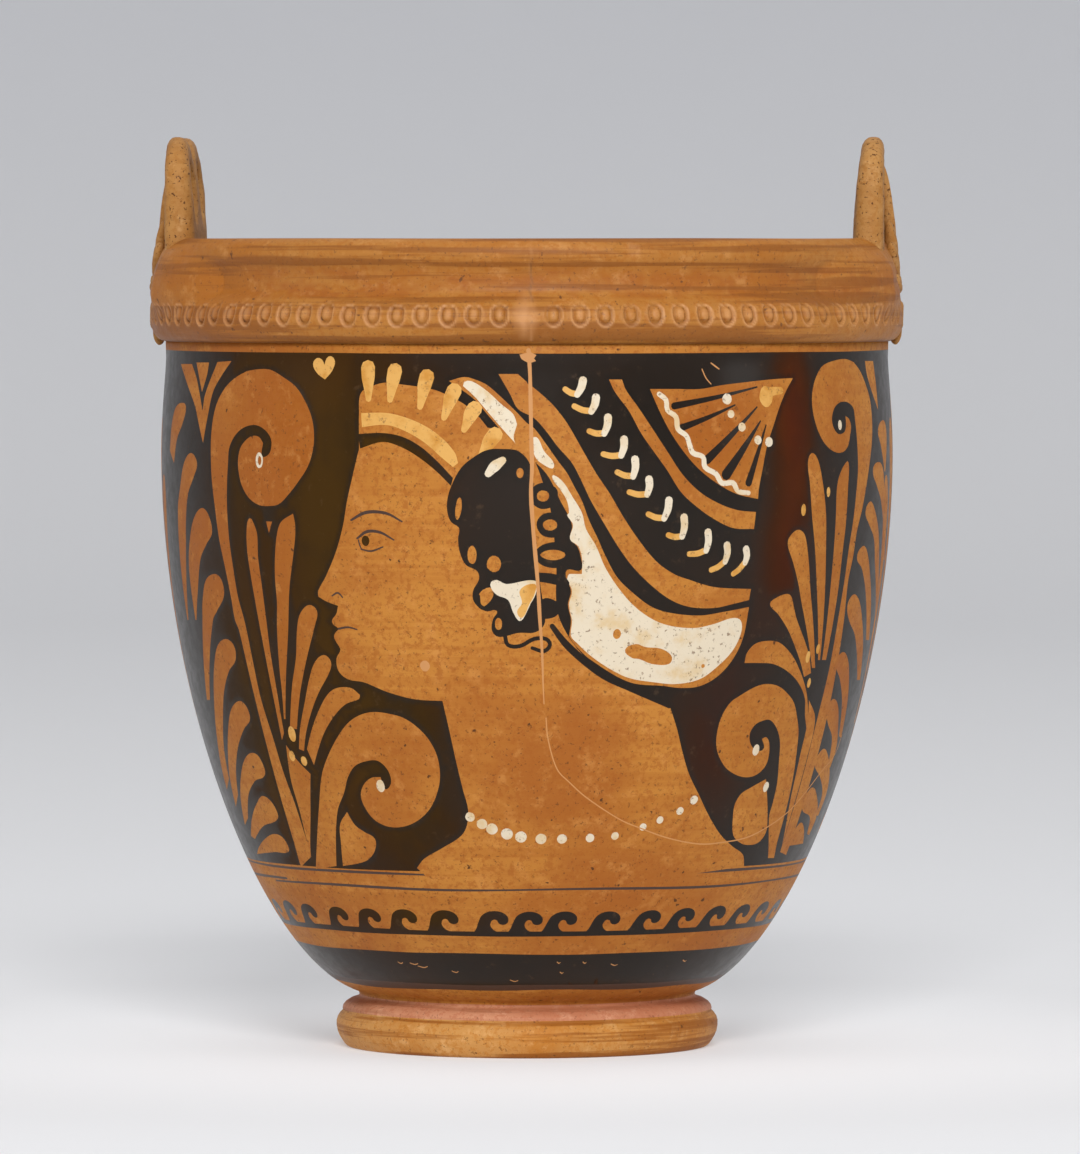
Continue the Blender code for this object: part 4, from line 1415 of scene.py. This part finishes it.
def handleObject(name, side):
    bm = bmesh.new()
    plate = plateObject(name)
    bm.from_mesh(plate)
    bpy.data.meshes.remove(plate)
    bmesh.ops.remove_doubles(bm, verts=bm.verts[:], dist=0.001)
    # cut into a fine net, so that its faces can be uneven
    cuts = [((0, step * handle["net"] + 0.31, 0), (0, 1, 0)) for step in range(-18, 19)]
    cuts += [((0, 0, 236.1 + step * handle["net"]), (0, 0, 1)) for step in range(22)]
    for place, across in cuts:
        bmesh.ops.bisect_plane(bm, geom=[*bm.verts, *bm.edges, *bm.faces], plane_co=place, plane_no=across)
    # the palmette: seven petals, two curled rings at its root and a drop below
    drop = handle["rootDrop"]
    root = Vector((108.6 + 0.5 + drop * 0.13 * 0.9, 0.4, handle["lip"] - drop))
    for index in range(-3, 4):
        length = handle["petalLength"] * handle["petals"][abs(index)]
        turn = -index * math.radians(handle["petalTurn"])
        addPetal(bm, root, 6.0 + 0.4 * abs(index), length, 6.4, 2.7, turn, -math.radians(6.5))
    for hand in (1, -1):
        addRing(bm, Vector((root.x - 0.2, 0.4 + hand * 4.9, handle["lip"] - drop - 3.5)), 2.9, 1.7)
    addPetal(bm, root - Vector((0.4, 0, 2.0)), 0.5, 10.5, 6.2, 2.6, pi, 0.04)
    bm.normal_update()
    seed = 3.0 if side > 0 else 11.0
    moves = []
    for vert in bm.verts:
        rough = 0.24 * noise.noise(vert.co * 0.16 + Vector((seed, 0, 0)))
        rough += 0.07 * noise.noise(vert.co * 0.7 + Vector((0, seed, 0)))
        moves.append(vert.normal * rough)
    for vert, move in zip(bm.verts, moves):
        vert.co = (vert.co + move) / 1000
        vert.co.z = min(vert.co.z, 0.27265)
        if side < 0:
            vert.co.x, vert.co.y = -vert.co.x, -vert.co.y
    for made in bm.faces:
        made.smooth = True
        made.material_index = 0
    obj = newObject(name, outwardMesh(name, bm), [materials["handle"]])
    obj.data.set_sharp_from_angle(angle=math.radians(55))
    return obj


body = vesselBody()
print("body made:", len(body.data.polygons), "faces")
rimPiece = rimRing()
print("rim made:", len(rimPiece.data.polygons), "faces")
handles = [handleObject("rightHandle", 1), handleObject("leftHandle", -1)]
print("handles made:", [len(piece.data.polygons) for piece in handles])

for piece in (body, rimPiece, *handles):
    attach(piece, "root")
    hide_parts("situla")


# Studio: pale floor swept up into a grey backdrop, soft lights above, in front and to both sides
studio = {
    "floorTone": (0.66, 0.66, 0.67, 1.0),
    "wallTone": (0.63, 0.635, 0.66, 1.0),
    "wallFrom": 0.0,
    "wallTo": 0.55,
    "floorGlow": 0.110,
    "wallGlow": 0.045,
    # painted light: the paper's glow around the foot, which lifts the foot's shadow
    "paintedLightAroundFoot": 0.17,
    "overheadPower": 132.0,
    "frontPower": 120.0,
    "sidePower": 2.2,
    "airStrength": 0.10,
}


def studioBowl():
    bm = bmesh.new()
    sides, curve, reach, top = 72, 1.9, 3.4, 4.2
    run = [(1.2, 0.0), (2.4, 0.0), (reach, 0.0)]
    # a broad quarter round leads the floor up into the wall on every side
    for step in range(1, 13):
        turn = pi / 2 * step / 12
        run.append((reach + curve * math.sin(turn), curve - curve * math.cos(turn)))
    run.append((reach + curve, top))
    turns = [2 * pi * step / sides for step in range(sides)]
    rows = [
        [bm.verts.new((radius * math.cos(turn), radius * math.sin(turn), height)) for turn in turns]
        for radius, height in run
    ]
    closeRing(bm, rows[0], 0)
    for inner, outer in zip(rows, rows[1:]):
        joinRings(bm, outer, inner)
    return newObject("studioBowl", meshFromBmesh("studioBowl", bm), [sweepMaterial()])


def sweepMaterial():
    material, tree, shader = newMaterial("studio paper")
    where = objectPlace(tree)
    height = addNode(tree, "ShaderNodeSeparateXYZ", {"Vector": where}).outputs["Z"]
    distance = addNode(tree, "ShaderNodeVectorMath", {0: where}, operation="LENGTH").outputs["Value"]
    share = ramp(tree, height, studio["wallFrom"], studio["wallTo"])
    tone = mixColour(tree, share, studio["floorTone"], studio["wallTone"])
    finishMaterial(tree, shader, tone, 0.9, specular=0.1)
    # the paper glows faintly all over, and more around the foot: a painted light that lifts the shadow there
    glow = ramp(tree, height, studio["wallFrom"], studio["wallTo"], studio["floorGlow"], studio["wallGlow"])
    glow = plus(tree, glow, ramp(tree, distance, 0.08, 0.30, studio["paintedLightAroundFoot"], 0.0))
    shader.inputs["Emission Color"].default_value = (0.97, 0.98, 1.0, 1.0)
    tree.links.new(glow, shader.inputs["Emission Strength"])
    return material


def areaLight(name, place, aim, size, power):
    light = bpy.data.lights.new(name, "AREA")
    light.shape = "RECTANGLE"
    light.size, light.size_y = size
    light.energy = power
    obj = bpy.data.objects.new(name, light)
    bpy.context.scene.collection.objects.link(obj)
    obj.location = place
    obj.rotation_euler = (Vector(aim) - Vector(place)).to_track_quat("-Z", "Y").to_euler()
    return obj


def makeStudio():
    bowl = studioBowl()
    lights = [
        areaLight("overheadSoftbox", (0.0, 0.3, 4.0), (0, 0.3, 0), (7.0, 7.0), studio["overheadPower"]),
        areaLight("frontSoftbox", (0.25, -3.6, 2.1), (0, 0, 0.12), (1.2, 0.9), studio["frontPower"]),
    ]
    for name, across in (("leftSoftbox", -1.5), ("rightSoftbox", 1.5)):
        lights.append(areaLight(name, (across, -0.5, 0.7), (0, 0, 0.13), (0.4, 1.0), studio["sidePower"]))
    world = bpy.data.worlds.new("studio air")
    bpy.context.scene.world = world
    world.use_nodes = True
    world.node_tree.nodes["Background"].inputs["Color"].default_value = (0.90, 0.92, 0.96, 1.0)
    world.node_tree.nodes["Background"].inputs["Strength"].default_value = studio["airStrength"]


def makeEye():
    camera = bpy.data.cameras.new("studio eye")
    camera.lens = eye["lens"]
    camera.sensor_width = eye["sensor"]
    camera.clip_end = 20
    obj = bpy.data.objects.new("studioEye", camera)
    bpy.context.scene.collection.objects.link(obj)
    obj.location = eyeAt
    obj.rotation_mode = "QUATERNION"
    obj.rotation_quaternion = eyeTurn
    bpy.context.scene.camera = obj


makeStudio()
makeEye()
bpy.context.scene.view_settings.view_transform = "Standard"
print("studio made")
